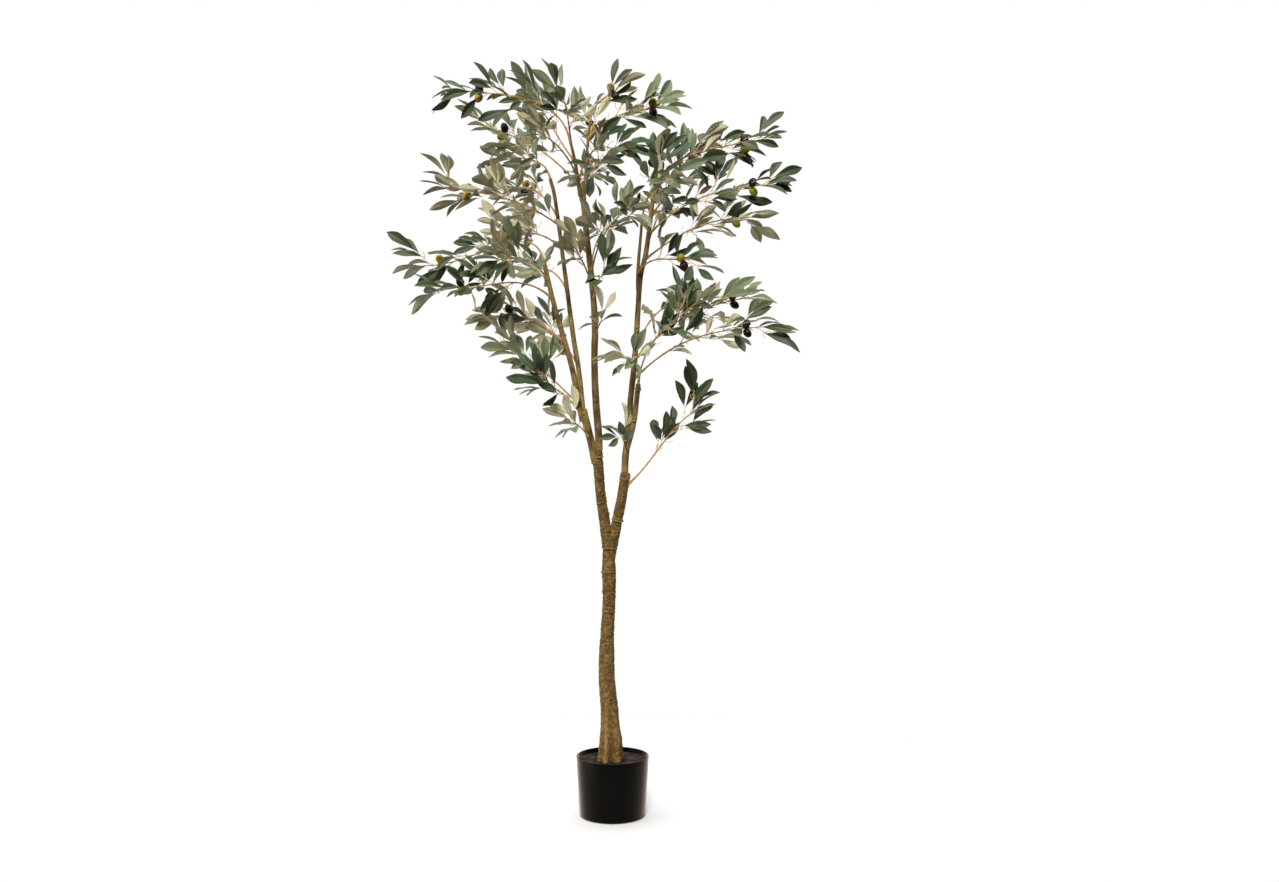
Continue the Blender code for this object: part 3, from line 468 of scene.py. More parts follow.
def moulded_plastic_stem(name, dark, pale):
    """Moulded plastic painted brown: satin, with painted shade in the grooves along the stem and
    under its rings and painted light on its swellings, from the relief.
    """
    finish, tree, shader, place = new_finish(name, {
        "Roughness": 0.62, "IOR": 1.46, "Specular IOR Level": 0.3})
    grain = cloudy_marks(tree, place, 2.2, 3, (1, 1, 0.12))
    blotches = cloudy_marks(tree, place, 24)
    both = add_node(tree, "ShaderNodeMath", {0: grain, 1: blotches}, operation="ADD")
    # The relief paints shade where the stem's surface lies low and light where it stands out.
    relief = add_node(tree, "ShaderNodeAttribute", {}, attribute_name="relief").outputs["Fac"]
    height = add_node(tree, "ShaderNodeMath", {
        0: relief, 1: 0.8, 2: both.outputs[0]}, operation="MULTIPLY_ADD")
    spread = add_node(tree, "ShaderNodeMapRange", {
        "Value": height.outputs[0], "From Min": 0.65, "From Max": 1.35})
    colours = add_node(tree, "ShaderNodeMixRGB", {
        "Fac": spread.outputs["Result"], "Color1": linear(dark), "Color2": linear(pale)})
    bump = add_node(tree, "ShaderNodeBump", {
        "Height": grain, "Strength": 0.4, "Distance": 0.0006})
    wire(tree, shader, {
        "Base Color": colours.outputs["Color"], "Normal": bump.outputs["Normal"]})
    return finish


def paper_covered_wire(name, dark, pale):
    """Wire in a twist of tan paper: dull, uneven in tone along its length."""
    finish, tree, shader, place = new_finish(name, {
        "Roughness": 0.78, "IOR": 1.45, "Specular IOR Level": 0.25})
    tone = cloudy_marks(tree, place, 9)
    colours = add_node(tree, "ShaderNodeMixRGB", {
        "Fac": tone, "Color1": linear(dark), "Color2": linear(pale)})
    wire(tree, shader, {"Base Color": colours.outputs["Color"]})
    return finish


def printed_cloth(name, hex_colour, shade):
    """Polyester cloth printed and cut to a leaf: matt, with a faint sheen and a soft mottle. The
    thread is 0.3 mm, too fine to show, so the weave is drawn at 0.9 mm."""
    finish, tree, shader, place = new_finish(name, {
        "Roughness": 0.52, "IOR": 1.45, "Specular IOR Level": 0.35, "Sheen Weight": 0.06,
        "Sheen Roughness": 0.4})
    mottle = cloudy_marks(tree, place, 11)
    colours = add_node(tree, "ShaderNodeMixRGB", {
        "Fac": mottle, "Color1": linear(shade), "Color2": linear(hex_colour)})
    weave = cloudy_marks(tree, place, 0.9, 1)
    bump = add_node(tree, "ShaderNodeBump", {
        "Height": weave, "Strength": 0.15, "Distance": 0.0004})
    wire(tree, shader, {
        "Base Color": colours.outputs["Color"], "Normal": bump.outputs["Normal"]})
    return finish


def lacquered_foam(name, flesh, blush):
    """Foam dipped in gloss lacquer: a small bright highlight over a blotched skin."""
    finish, tree, shader, place = new_finish(name, {
        "Roughness": 0.40, "IOR": 1.5, "Specular IOR Level": 0.12, "Coat Weight": 0.20,
        "Coat Roughness": 0.07})
    skin = cloudy_marks(tree, place, 13, 2)
    colours = add_node(tree, "ShaderNodeMixRGB", {
        "Fac": skin, "Color1": linear(flesh), "Color2": linear(blush)})
    wire(tree, shader, {"Base Color": colours.outputs["Color"]})
    return finish


def moulded_polypropylene(name, hex_colour):
    """Injection-moulded black polypropylene: a satin skin with the faint grain of the mould,
    deep black face on, and broad soft warm reflections towards its edges, as from a dusty bloom.
    The mould's grain is 0.2 mm, too fine to show, so it is drawn at 0.8 mm."""
    finish, tree, shader, place = new_finish(name, {
        "Base Color": linear(hex_colour), "IOR": 1.49, "Specular IOR Level": 0.05,
        "Sheen Weight": 0.5, "Sheen Roughness": 0.34, "Sheen Tint": linear("#FFE6CE")})
    handling = cloudy_marks(tree, place, 35, 3)
    roughness = add_node(tree, "ShaderNodeMapRange", {
        "Value": handling, "To Min": 0.24, "To Max": 0.32})
    grain = cloudy_marks(tree, place, 0.8, 2)
    bump = add_node(tree, "ShaderNodeBump", {
        "Height": grain, "Strength": 0.12, "Distance": 0.0002})
    wire(tree, shader, {
        "Roughness": roughness.outputs["Result"], "Normal": bump.outputs["Normal"]})
    return finish


def coloured_cement(name, dark, pale):
    """Cement cast with dark brown grit: dead matt, with paler crumbs, painted light on the tops of
    its lumps and painted shade between them and in the hollow round the trunk's foot. The grit is 1
    mm, too fine to show, so it is drawn at 2.6 mm."""
    finish, tree, shader, place = new_finish(name, {
        "Roughness": 0.95, "IOR": 1.5, "Specular IOR Level": 0.15})
    crumbs = cloudy_marks(tree, place, 2.6, 4)
    # The relief paints light on the lumps' tops, shade between them, and deeper shade in the hollow
    # round the trunk's foot.
    relief = add_node(tree, "ShaderNodeAttribute", {}, attribute_name="relief").outputs["Fac"]
    height = add_node(tree, "ShaderNodeMath", {
        0: relief, 1: 0.5, 2: crumbs}, operation="MULTIPLY_ADD")
    spread = add_node(tree, "ShaderNodeMapRange", {
        "Value": height.outputs[0], "From Min": 0.25, "From Max": 0.85})
    colours = add_node(tree, "ShaderNodeMixRGB", {
        "Fac": spread.outputs["Result"], "Color1": linear(dark), "Color2": linear(pale)})
    bump = add_node(tree, "ShaderNodeBump", {
        "Height": crumbs, "Strength": 0.7, "Distance": 0.001})
    wire(tree, shader, {
        "Base Color": colours.outputs["Color"], "Normal": bump.outputs["Normal"]})
    return finish


def matt_board(name, hex_colour):
    """Painted studio board: plain, pale and dead matt."""
    return new_finish(name, {"Base Color": linear(hex_colour), "Roughness": 0.9})[0]


# Shapes shared by the pieces

def new_piece(name, points, faces, finishes, numbers=None, sharp=60):
    """A smooth-shaded mesh object. numbers says which finish each face has."""
    mesh = bpy.data.meshes.new(name)
    mesh.from_pydata(points, [], faces)
    for finish in finishes:
        mesh.materials.append(finish)
    if numbers is not None:
        mesh.polygons.foreach_set("material_index", numbers)
    mesh.shade_smooth()
    mesh.set_sharp_from_angle(angle=math.radians(sharp))
    mesh.update()
    piece = bpy.data.objects.new(name, mesh)
    bpy.context.scene.collection.objects.link(piece)
    return piece


def mark_relief(piece, values):
    """Gives each point of the piece its relief, which the finish turns into painted light where it
    stands out and painted shade where it lies low.
    """
    relief = piece.data.attributes.new("relief", "FLOAT", "POINT")
    relief.data.foreach_set("value", values)


def place_piece(piece, nodes):
    """The piece rides on the only body and stands for the frame's solids."""
    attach(piece, "root")
    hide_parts(*nodes)


def smooth_path(points, step):
    """A Catmull-Rom curve through points of any number of values, cut into short pieces."""
    knots = [Vector(point) for point in points]
    ends = [2 * knots[0] - knots[1], *knots, 2 * knots[-1] - knots[-2]]
    path = [knots[0]]
    for before, here, there, after in zip(ends, ends[1:], ends[2:], ends[3:]):
        count = max(1, round((there - here).length / step))
        for index in range(1, count + 1):
            t = index / count
            bend = 2 * before - 5 * here + 4 * there - after
            turn = 3 * here - before - 3 * there + after
            path.append(here + 0.5 * ((there - before) * t + bend * t ** 2 + turn * t ** 3))
    return path


def bezier_path(start, leave, arrive, end, pieces):
    """A cubic curve from start to end with the handles leave and arrive."""
    path = []
    for index in range(pieces + 1):
        t = index / pieces
        s = 1 - t
        path.append(s ** 3 * start + 3 * s * s * t * leave + 3 * s * t * t * arrive + t ** 3 * end)
    return path


def outward_rings(path, sides):
    """At each point of the path, unit directions out from it, without twist."""
    places = np.array(path, float)
    runs = np.gradient(places, axis=0)
    runs /= np.linalg.norm(runs, axis=1, keepdims=True)
    first = np.eye(3)[np.argmin(np.abs(runs[0]))]
    turns = np.linspace(0, 2 * np.pi, sides, endpoint=False)
    rings = []
    for run in runs:
        first = first - run * (first @ run)
        first = first / np.linalg.norm(first)
        second = np.cross(run, first)
        rings.append(np.outer(np.cos(turns), first) + np.outer(np.sin(turns), second))
    return places, np.array(rings)


def tube_faces(rings, sides, start=0):
    """Faces of a closed tube whose points run ring by ring."""
    faces = []
    for ring in range(rings - 1):
        low = start + ring * sides
        for side in range(sides):
            after = (side + 1) % sides
            faces.append((low + side, low + after, low + sides + after, low + sides + side))
    last = start + (rings - 1) * sides
    faces.append(tuple(range(start + sides - 1, start - 1, -1)))
    faces.append(tuple(range(last, last + sides)))
    return faces


class Bundle:
    """Many small bodies gathered into one mesh."""

    def __init__(self):
        self.points, self.faces, self.numbers = [], [], []

    def add_tube(self, path, radii, sides, number=0):
        """Adds a closed tube. It has a radius for each point of its path, and its finish's
        number."""
        places, rings = outward_rings(path, sides)
        skin = places[:, None, :] + rings * np.array(radii)[:, None, None]
        faces = tube_faces(len(path), sides, len(self.points))
        self.points.extend(skin.reshape(-1, 3).tolist())
        self.faces.extend(faces)
        self.numbers.extend([number] * len(faces))

    def piece(self, name, finishes):
        return new_piece(name, self.points, self.faces, finishes, self.numbers)


def along_at(path, share):
    """The point at a share of a path of even pieces, and its direction there."""
    place = share * (len(path) - 1)
    index = min(int(place), len(path) - 2)
    low, high = path[index], path[index + 1]
    return low.lerp(high, place - index), (high - low).normalized()


# The limbs and their bark

def near(turn, degrees):
    """The angle between a direction round the limb and a named one, in radians."""
    return abs((turn - math.radians(degrees) + math.pi) % (2 * math.pi) - math.pi)


def bell(distance, width):
    """1 at no distance, and less and less from there on."""
    return math.exp(-(distance / width) ** 2)


def marks(place, wide, high):
    """Soft marks on a limb, from -1 to 1, with so many in a metre of its width and height."""
    return noise.noise(Vector((place.x * wide, place.y * wide, place.z * high)))


def ring_relief(name, place, turn, height):
    """Collars round the limb, uneven and with a crease under them that the bark's painted shade
    darkens.
    """
    often, mean, varies = RING_UNEVEN
    wave, setting = RING_WAVE
    under, width, depth = RING_CREASE
    relief = 0
    for ring_height, reach in RINGS.get(name, ()):
        away = height - ring_height
        if abs(away) < RING_SPAN:
            uneven = mean + varies * noise.noise(place * often)
            away += wave * math.sin(turn + setting * ring_height)
            section = bell(away, RING_WIDTH) - depth * bell(away + under, width)
            relief += RING_HEAVY * reach * uneven * section
    return relief


def knob_relief(name, turn, height, radius):
    """Stumps of cut twigs that stand out of the limb, and flat scars with a raised lip."""
    relief = 0
    for knob_height, degrees, size, reach in KNOBS.get(name, ()):
        away = math.hypot(height - knob_height, near(turn, degrees) * radius)
        relief += reach * bell(away, size) if away < KNOB_REACH * size else 0
    lip_height, lip_width = SCAR_LIP
    hollow_depth, hollow_width = SCAR_HOLLOW
    for scar_height, degrees, size in SCARS.get(name, ()):
        away = math.hypot((height - scar_height) * SCAR_LOW, near(turn, degrees) * radius)
        if away < SCAR_REACH * size:
            lip = lip_height * bell(away - size, lip_width * size)
            relief += lip - hollow_depth * bell(away, hollow_width * size)
    return relief


def flare_relief(turn, height):
    """Ribs and hollows of the root flare, deeper towards the foot."""
    share = (FLARE_TOP - height) / (FLARE_TOP - FILL_TOP)
    if share <= 0:
        return 0
    return share * sum(
        depth * bell(near(turn, middle), math.radians(half)) for middle, half, depth in FLARE_RIBS)


def wrap_relief(place, turn, height):
    """Turns of creased paper tape, each lapping over the one below, torn and lumpy all over."""
    often, stray = WRAP_STRAY
    creep = WRAP_SLANT * math.sin(turn) + stray * noise.noise(place * often)
    row = (height + creep) / WRAP_PITCH
    part = row - math.floor(row)
    lap = part if part < WRAP_LAP else (1 - part) * WRAP_LAP / (1 - WRAP_LAP)
    often, sharpness = WRAP_TEARS
    torn = min(1.0, max(0.0, 0.5 + sharpness * noise.noise(place * often)))
    tape = WRAP_LIP * torn * (lap - WRAP_LEVEL)
    wide, high, depth = WRAP_FLATS
    tape += depth * marks(place, wide, high)
    wide, high, depth = WRAP_CREASES
    tape -= depth * bell(marks(place, wide, high), CREASE_SHARPNESS)
    on_flare = min(1, max(0, (FLARE_TOP + 0.5 * CALM_SPAN - height) / CALM_SPAN))
    lumps = sum(reach * noise.noise(place * often) for often, reach in BARK_LUMPS)
    return (1 - CALM_FOOT * on_flare) * tape + lumps


def grain_relief(place, radius):
    """Shallow grooves along a moulded stem, and slow swellings."""
    wide, high, depth = GROOVES
    often, reach = SWELLINGS
    return radius * (depth * marks(place, wide, high) + reach * noise.noise(place * often))


def fork_reach(place, out, lines):
    """How far the skin round both boughs' feet stands from the trunk's axis."""
    reaches = []
    for line in lines:
        centre, radius = line_at(line, place.z)
        to_centre = Vector((centre.x - place.x, centre.y - place.y, 0))
        forward = to_centre.dot(out)
        inside = radius ** 2 - to_centre.length_squared + forward ** 2
        reaches.append(forward + math.sqrt(inside) if inside > 0 else 0)
    highest = max(reaches)
    both = sum(math.exp((reach - highest) / FORK_BLEND) for reach in reaches)
    return highest + FORK_BLEND * math.log(both)


def line_at(line, height):
    """A limb's centre and radius at a height, carried on straight below its start."""
    for low, high in zip(line, line[1:]):
        if high.z >= height:
            break
    point = low + (high - low) * ((height - low.z) / (high.z - low.z))
    return point.to_3d(), point[3]


def limb_line(name):
    """The limb's axis and radius in short steps, from just inside the one it springs from."""
    line = smooth_path(LIMBS[name][2], BARK_STEP if name in WRAPPED else STEM_STEP)
    if name == "trunk":
        foot = line[0] - Vector((0, 0, HOLLOW_DEPTH + FILL_LUMP, 0))
        line = smooth_path([foot, line[0]], BARK_STEP)[:-1] + line
        top = line[-1] + (line[-1] - line[-2]).normalized() * (FORK_TOP - line[-1].z)
        line += smooth_path([line[-1], top], BARK_STEP)[1:]
    return line


def limb_skin(name):
    """Points of the limb's bark, ring by ring, and the painted light and shade of each: paler for
    how far it stands out, darker for how deep it lies.
    """
    line = limb_line(name)
    sides = LIMBS[name][1]
    wrapped = name in WRAPPED
    forks = [limb_line(bough) for bough in ("bough_left", "bough_right")]
    places, rings = outward_rings([point.to_3d() for point in line], sides)
    points, painted_shading = [], []
    for place, ring, row in zip(places, rings, line):
        centre, radius = Vector(place), row[3]
        height = centre.z
        for direction in ring:
            out = Vector(direction)
            turn = math.atan2(out.y, out.x)
            skin = centre + out * radius
            relief = wrap_relief(skin, turn, height) if wrapped else grain_relief(skin, radius)
            relief += ring_relief(name, skin, turn, height)
            knob = knob_relief(name, turn, height, radius)
            reach = radius + knob
            # Knobs, scar lips and flare ribs get painted light; scar hollows and flare hollows get
            # painted shade.
            tone = KNOB_PAINTED_SHADING * knob
            if name == "trunk":
                flare = flare_relief(turn, height)
                reach += flare
                tone += FLARE_PAINTED_SHADING * flare
                share = (height - FORK_START) / (FORK_TOP - FORK_START)
                if share > 0:
                    share = min(1, FORK_QUICK * share)
                    share = share * share * (3 - 2 * share)
                    reach += (fork_reach(centre, out, forks) - reach) * share
            points.append(centre + out * (reach + relief))
            # Painted light where the bark stands out and painted shade where it lies low.
            painted_shading.append(relief + tone)
    scale = WRAP_PAINTED_SHADING if wrapped else STEM_PAINTED_SHADING
    return points, np.clip(np.array(painted_shading) / scale, -TONE_MOST, TONE_MOST), sides


def close_tip(points, painted_shading, sides, line, rounding):
    """Rounds off the top end of a limb."""
    run = (line[-1] - line[-2]).to_3d().normalized()
    centre = line[-1].to_3d()
    rim = points[-sides:]
    for row in range(1, TIP_ROWS + 1):
        angle = 0.5 * math.pi * row / TIP_ROWS
        rise = run * rounding * math.sin(angle)
        wide = max(TIP_LEAST, math.cos(angle))
        points += [centre + (point - centre) * wide + rise for point in rim]
        painted_shading = np.append(painted_shading, np.full(sides, TIP_TONE))
    return points, painted_shading


def make_limb(name, finish):
    """One limb with its bark, in place of its plain solid."""
    points, painted_shading, sides = limb_skin(name)
    line = limb_line(name)
    rounding = TIP_ROUNDING * line[-1][3] if name != "trunk" else 0.0
    points, painted_shading = close_tip(points, painted_shading, sides, line, rounding)
    faces = tube_faces(len(points) // sides, sides)
    piece = new_piece(f"{name}_bark", points, faces, [finish], sharp=75)
    mark_relief(piece, painted_shading)
    place_piece(piece, [name])


# The sprays

def hull(points, faces):
    """A plain closed form round a leaf, twig or olive, for finding what it would touch."""
    return BVHTree.FromPolygons(points, faces)


def across(direction, wanted):
    """The part of wanted that is square to direction, as a unit vector."""
    return (wanted - direction * wanted.dot(direction)).normalized()


def leaning(run, around):
    """A direction square to a run of wire, turned around it from its upper side."""
    upper = across(run, UP)
    return upper * math.cos(around) + run.cross(upper) * math.sin(around)


def tube_hull(path, start_radius, end_radius):
    places, rings = outward_rings(path, 3)
    radii = np.linspace(start_radius, end_radius, len(path))
    skin = places[:, None, :] + rings * radii[:, None, None]
    return hull(skin.reshape(-1, 3).tolist(), tube_faces(len(path), 3))


def leaf_hull(root, along, face, size, grow):
    side = face.cross(along)
    length = LEAF_LENGTH * size
    widest = root + along * LEAF_WIDEST * length + face * LEAF_CUP * length
    reach = side * (0.5 * LEAF_WIDTH * size + grow)
    thickest = root + along * LEAF_THICKEST * length
    depth = face * (0.5 * LEAF_THICKNESS + grow)
    tip = root + along * (length + grow) - face * LEAF_DROOP * length
    ring = [widest + reach, thickest + depth, widest - reach, thickest - depth]
    faces = [(end, 1 + side, 1 + (side + 1) % 4) for end in (0, 5) for side in range(4)]
    return hull([root - along * grow, *ring, tip], faces)


def olive_hull(foot, along, grow):
    side = across(along, ASKEW)
    other = along.cross(side)
    middle = foot + along * 0.5 * OLIVE_LENGTH
    points = [middle - along * (0.5 * OLIVE_LENGTH + grow)]
    for rise in (-0.5, 0.5):
        wide = math.sqrt(1 - rise ** 2) * (0.5 * OLIVE_WIDTH + grow)
        level = middle + along * rise * (OLIVE_LENGTH + 2 * grow) * 0.5
        for turn in range(6):
            angle = math.pi * turn / 3
            points.append(level + (side * math.cos(angle) + other * math.sin(angle)) * wide)
    points.append(middle + along * (0.5 * OLIVE_LENGTH + grow))
    faces = []
    for turn in range(6):
        after = (turn + 1) % 6
        faces += [
            (0, 1 + turn, 1 + after), (1 + turn, 7 + turn, 7 + after, 1 + after),
            (7 + turn, 13, 7 + after)]
    return hull(points, faces)


def limb_at(path, height):
    """The point on a limb's axis at a height, and the limb's direction there."""
    for low, high in zip(path, path[1:]):
        if high.z >= height:
            share = (height - low.z) / (high.z - low.z)
            return low.lerp(high, share), (high - low).normalized()
    return path[-1], (path[-1] - path[-2]).normalized()


class Spray:
    """One spray. It grows by the rule of its solid, with the same seeds, and then on from there.

    Each twig draws its numbers from a seed of its own, so leaving one off changes no other.
    """

    def __init__(self, name, order, limb_tree, limb_path):
        _, height, end, self.twigs, self.fruiting, self.turn = SPRAYS[name]
        self.name = name
        self.order = order
        self.end = Vector(end)
        handles = self.stem_handles(limb_tree, limb_path, height)
        self.stem = bezier_path(*handles, STEM_PIECES)
        self.curve = bezier_path(*handles, STEM_PIECES * FINE_PIECES)
        self.stem_tree = tube_hull(self.stem, STEM_RADIUS, STEM_TIP_RADIUS)
        self.others = []
        self.grown = []
        self.leaves = []
        self.olives = []
        self.side_twigs = []
        self.twiglets = []
        self.hooks = []

    def stem_handles(self, limb_tree, path, height):
        """Start, handles and end of the stem's curve, from the bark of the limb."""
        if height is None:
            centre, along = path[-1], (path[-1] - path[-2]).normalized()
            start = centre + along * GAP
            leave = along
        else:
            centre, along = limb_at(path, height)
            out = across(along, self.end - centre)
            bark, face, _, _ = limb_tree.ray_cast(centre + out * BEYOND, -out)
            start = bark + face * GAP
            leave = (out * STEM_OUT + along).normalized()
        handle = STEM_HANDLE * (self.end - start).length
        over = Vector((self.end.x - start.x, self.end.y - start.y, 0))
        climb = max(STEM_LEAST_CLIMB, (self.end.z - start.z) / over.length - STEM_LEVEL)
        arrive = (over.normalized() + UP * climb).normalized()
        return start, start + leave * handle, self.end - arrive * handle, self.end

    def lean_at(self, share, around):
        """A place on the stem, its direction there, and one that leans out from it."""
        start, run = along_at(self.stem, share)
        return start, run, leaning(run, around)

    def from_stem(self, point):
        """How far a point is from the stem."""
        shares = [step / SPACE_STEPS for step in range(SPACE_STEPS + 1)]
        return min((point - along_at(self.stem, share)[0]).length for share in shares)

    def touches(self, candidate, own):
        return any(tree.overlap(candidate) for tree in [*self.others, *own])

    def add_leaf(self, root, along, face, size, own, reach):
        """Keeps the leaf unless it would leave the spray's space or touch something."""
        blocked = self.touches(leaf_hull(root, along, face, size, CLEARANCE), own)
        if self.from_stem(root + along * LEAF_LENGTH * size) < reach and not blocked:
            self.grown.append(leaf_hull(root, along, face, size, 0))
            self.leaves.append((root, along, face, size))

    def fan(self, draw, tip, heading, count, own):
        """Two or three leaves along a twig's end, their upper sides up and to front or back."""
        facing = Vector((0, -self.turn, LEAF_UP))
        side = heading.cross(across(heading, facing)) * draw.choice((1, -1))
        for place, lean in enumerate(FAN_LEANS[:count]):
            lean += draw.uniform(-FAN_STRAY, FAN_STRAY)
            size = draw.uniform(*LEAF_SIZES)
            rise = draw.uniform(-LEAF_RISE, LEAF_RISE)
            stray = Vector([draw.uniform(-LEAF_TURNS, LEAF_TURNS) for _ in range(3)])
            along = (heading + side * lean + across(heading, facing + stray) * rise).normalized()
            root = tip - heading * (LEAF_SINK + FAN_STEP * place)
            self.add_leaf(root, along, across(along, facing + stray), size, own, SPRAY_SPREAD)

    def side_twig(self, draw, share, around):
        """A short twig off the stem that ends in a fan."""
        start, run, lean = self.lean_at(share, around)
        heading = (run + lean * TWIG_LEAN + UP * TWIG_LIFT).normalized()
        tip = start + heading * TWIG_LENGTH * draw.uniform(*TWIG_SIZES)
        own = list(self.grown)
        clear_of_stem = start + heading * 2 * STEM_RADIUS
        wide = TWIG_RADIUS + CLEARANCE
        if not self.touches(tube_hull([clear_of_stem, tip], wide, wide), own):
            self.grown.append(tube_hull([start, tip], TWIG_RADIUS, TWIG_RADIUS))
            self.fan(draw, tip, heading, 3 if share > FULL_FAN else 2, [*own, self.stem_tree])
            self.bend_twig(share, tip, heading)

    def bend_twig(self, share, tip, heading):
        """The side twig's fine form: it leaves along the stem and bends out to its tip."""
        start, run = along_at(self.curve, share)
        reach = TWIG_HANDLE * (tip - start).length
        leave = start + (run + TWIG_START * heading).normalized() * reach
        pieces = len(TWIG_PROFILE) - 1
        self.side_twigs.append(bezier_path(start, leave, tip - heading * reach, tip, pieces))

    def pair_of_olives(self, draw):
        """Two olives whose stalks leave the stem side by side, on the crown's outer side."""
        start, run = along_at(self.stem, OLIVE_PLACE)
        outer_side = math.copysign(1, run.x) * (1 if self.end.y < OLIVE_BACK else -1)
        first = draw.uniform(*OLIVE_TURNS)
        for turn in (first, first + OLIVE_SPREAD):
            lean = self.lean_at(OLIVE_PLACE, turn * outer_side)[2]
            heading = (lean + run * OLIVE_LEAN).normalized()
            if not self.touches(olive_hull(start, heading, CLEARANCE), []):
                self.grown.append(olive_hull(start, heading, 0))
                self.olives.append((along_at(self.curve, OLIVE_PLACE)[0], heading))

    def grow(self, others):
        """Olives, leaves and twigs, each left off where it would touch another piece."""
        self.others = others
        seeds = range(SEEDS_A_SPRAY * self.order, SEEDS_A_SPRAY * self.order + self.twigs + 2)
        draws = [random.Random(seed) for seed in seeds]
        if self.fruiting:
            self.pair_of_olives(draws[0])
        heading = along_at(self.stem, 1)[1]
        self.fan(draws[1], self.end, heading, 3, list(self.grown))
        around = draws[1].uniform(0, 2 * math.pi)
        inward = (TWIG_OUTERMOST - TWIG_INNERMOST) / max(self.twigs - 1, 1)
        for index, draw in enumerate(draws[2:]):
            self.side_twig(draw, TWIG_OUTERMOST - inward * index, around + index * GOLDEN_TURN)

    def twiglet(self, draw, path, share, around, count):
        """A fine twig off another, with a few smaller leaves or a bare end."""
        start, run = along_at(path, share)
        heading = (run + leaning(run, around) * TWIGLET_LEAN + UP * TWIG_LIFT).normalized()
        length = draw.uniform(*TWIGLET_LENGTHS)
        tip = start + heading * length
        own = list(self.grown)
        clear_of_path = start + heading * 2.5 * TWIG_RADIUS
        wide = TWIGLET_RADIUS + CLEARANCE
        too_far = self.from_stem(tip) > FINER_REACH
        if too_far or self.touches(tube_hull([clear_of_path, tip], wide, wide), own):
            return
        self.grown.append(tube_hull([start, tip], TWIGLET_RADIUS, TWIGLET_RADIUS))
        leave = start + (run + heading).normalized() * TWIGLET_HANDLE * length
        arrive = tip - heading * TWIGLET_HANDLE * length
        self.twiglets.append(bezier_path(start, leave, arrive, tip, len(TWIGLET_PROFILE) - 1))
        own.append(self.stem_tree)
        stray = Vector([draw.uniform(-LEAF_TURNS, LEAF_TURNS) for _ in range(3)])
        face = across(heading, Vector((0, -self.turn, LEAF_UP)) + TWIGLET_TURN * stray)
        side = heading.cross(face)
        first = draw.choice((1, -1))
        for place, lean in enumerate(TWIGLET_FAN[:count]):
            lean = first * lean + draw.uniform(-FAN_STRAY, FAN_STRAY)
            rise = draw.uniform(-LEAF_RISE, LEAF_RISE)
            along = (heading + side * lean + face * rise).normalized()
            root = tip - heading * 0.5 * LEAF_SINK * (1 + place)
            size = draw.uniform(*TWIGLET_LEAF_SIZES)
            self.add_leaf(root, along, across(along, face), size, own, FINER_REACH)

    def hook(self, draw, path):
        """A bare stub of wire that has lost its leaf: out from its stem, then along it and up."""
        start, run = along_at(path, draw.uniform(*HOOK_PLACES))
        lean = leaning(run, draw.uniform(0, 2 * math.pi))
        length = draw.uniform(*HOOK_LENGTHS)
        middle = start + (lean + run * 0.3) * 0.6 * length
        self.hooks.append([start, middle, middle + (lean * 0.5 + run + UP * 0.2) * 0.5 * length])

    def grow_finer(self, others):
        """Twiglets off the stem and off its side twigs, and bare hooks."""
        self.others = others
        draw = random.Random(FINER_SEED + self.order)
        around = draw.uniform(0, 2 * math.pi)
        for path in list(self.side_twigs):
            for share in TWIGLET_SHARES:
                around += GOLDEN_TURN
                self.twiglet(draw, path, share, around, draw.choice((1, 2)))
                self.hook(draw, path)
        shares = ADDED_TWIG_SHARES[:self.twigs + 1]
        if self.name in FULLER_SPRAYS:
            shares += FULLER_TWIG_SHARES
        elif self.name in OPEN_SPRAYS:
            shares = shares[:OPEN_TWIGS]
        for share in shares:
            around += GOLDEN_TURN
            self.twiglet(draw, self.curve, share, around, draw.choice((2, 2, 3)))
            self.hook(draw, self.curve)
            self.hook(draw, self.curve)


def grow_sprays():
    """All sprays: every stem first, then the solids' own leaves, then the finer growth."""
    trees = {}
    for name in LIMBS:
        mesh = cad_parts[name].data
        corners = [vertex.co for vertex in mesh.vertices]
        trees[name] = hull(corners, [tuple(face.vertices) for face in mesh.polygons])
    paths = {
        name: [point.to_3d() for point in smooth_path(row[2], LIMB_STEP)]
        for name, row in LIMBS.items()}
    sprays = []
    for order, (name, row) in enumerate(SPRAYS.items()):
        sprays.append(Spray(name, order, trees[row[0]], paths[row[0]]))
    for grow in (Spray.grow, Spray.grow_finer):
        for spray in sprays:
            beside = [other for other in sprays if other is not spray]
            others = [tree for other in beside for tree in [other.stem_tree, *other.grown]]
            grow(spray, [*trees.values(), *others])
    return sprays


# Leaves, twigs and olives as fine meshes

def blade_outline(t, widest, tip_power):
    """Half width along the blade as a share of the greatest: a long straight wedge of a foot,
    widest past the middle, and a pointed tip with full shoulders."""
    foot = np.sin(0.5 * np.pi * np.minimum(t / widest, 1) ** BLADE_FOOT_POWER)
    tip = 1 - np.maximum(t - widest, 0) ** tip_power / (1 - widest) ** tip_power
    return np.maximum(STALK_SHARE, np.minimum(foot, tip))


def blade_grid():
    """Numbers of a blade's points by row and column, for its upper and its under side, and how
    many there are. Both sides share the foot, the edges and the tip."""
    rows, columns = len(BLADE_ROWS), len(BLADE_COLUMNS)
    upper = np.arange(rows * columns).reshape(rows, columns)
    upper[-1, :] = upper[-1, 0]
    under = upper.copy()
    inner = (rows - 2) * (columns - 2)
    first = (rows - 1) * columns + 1
    under[1:-1, 1:-1] = first + np.arange(inner).reshape(rows - 2, columns - 2)
    return upper, under, first + inner


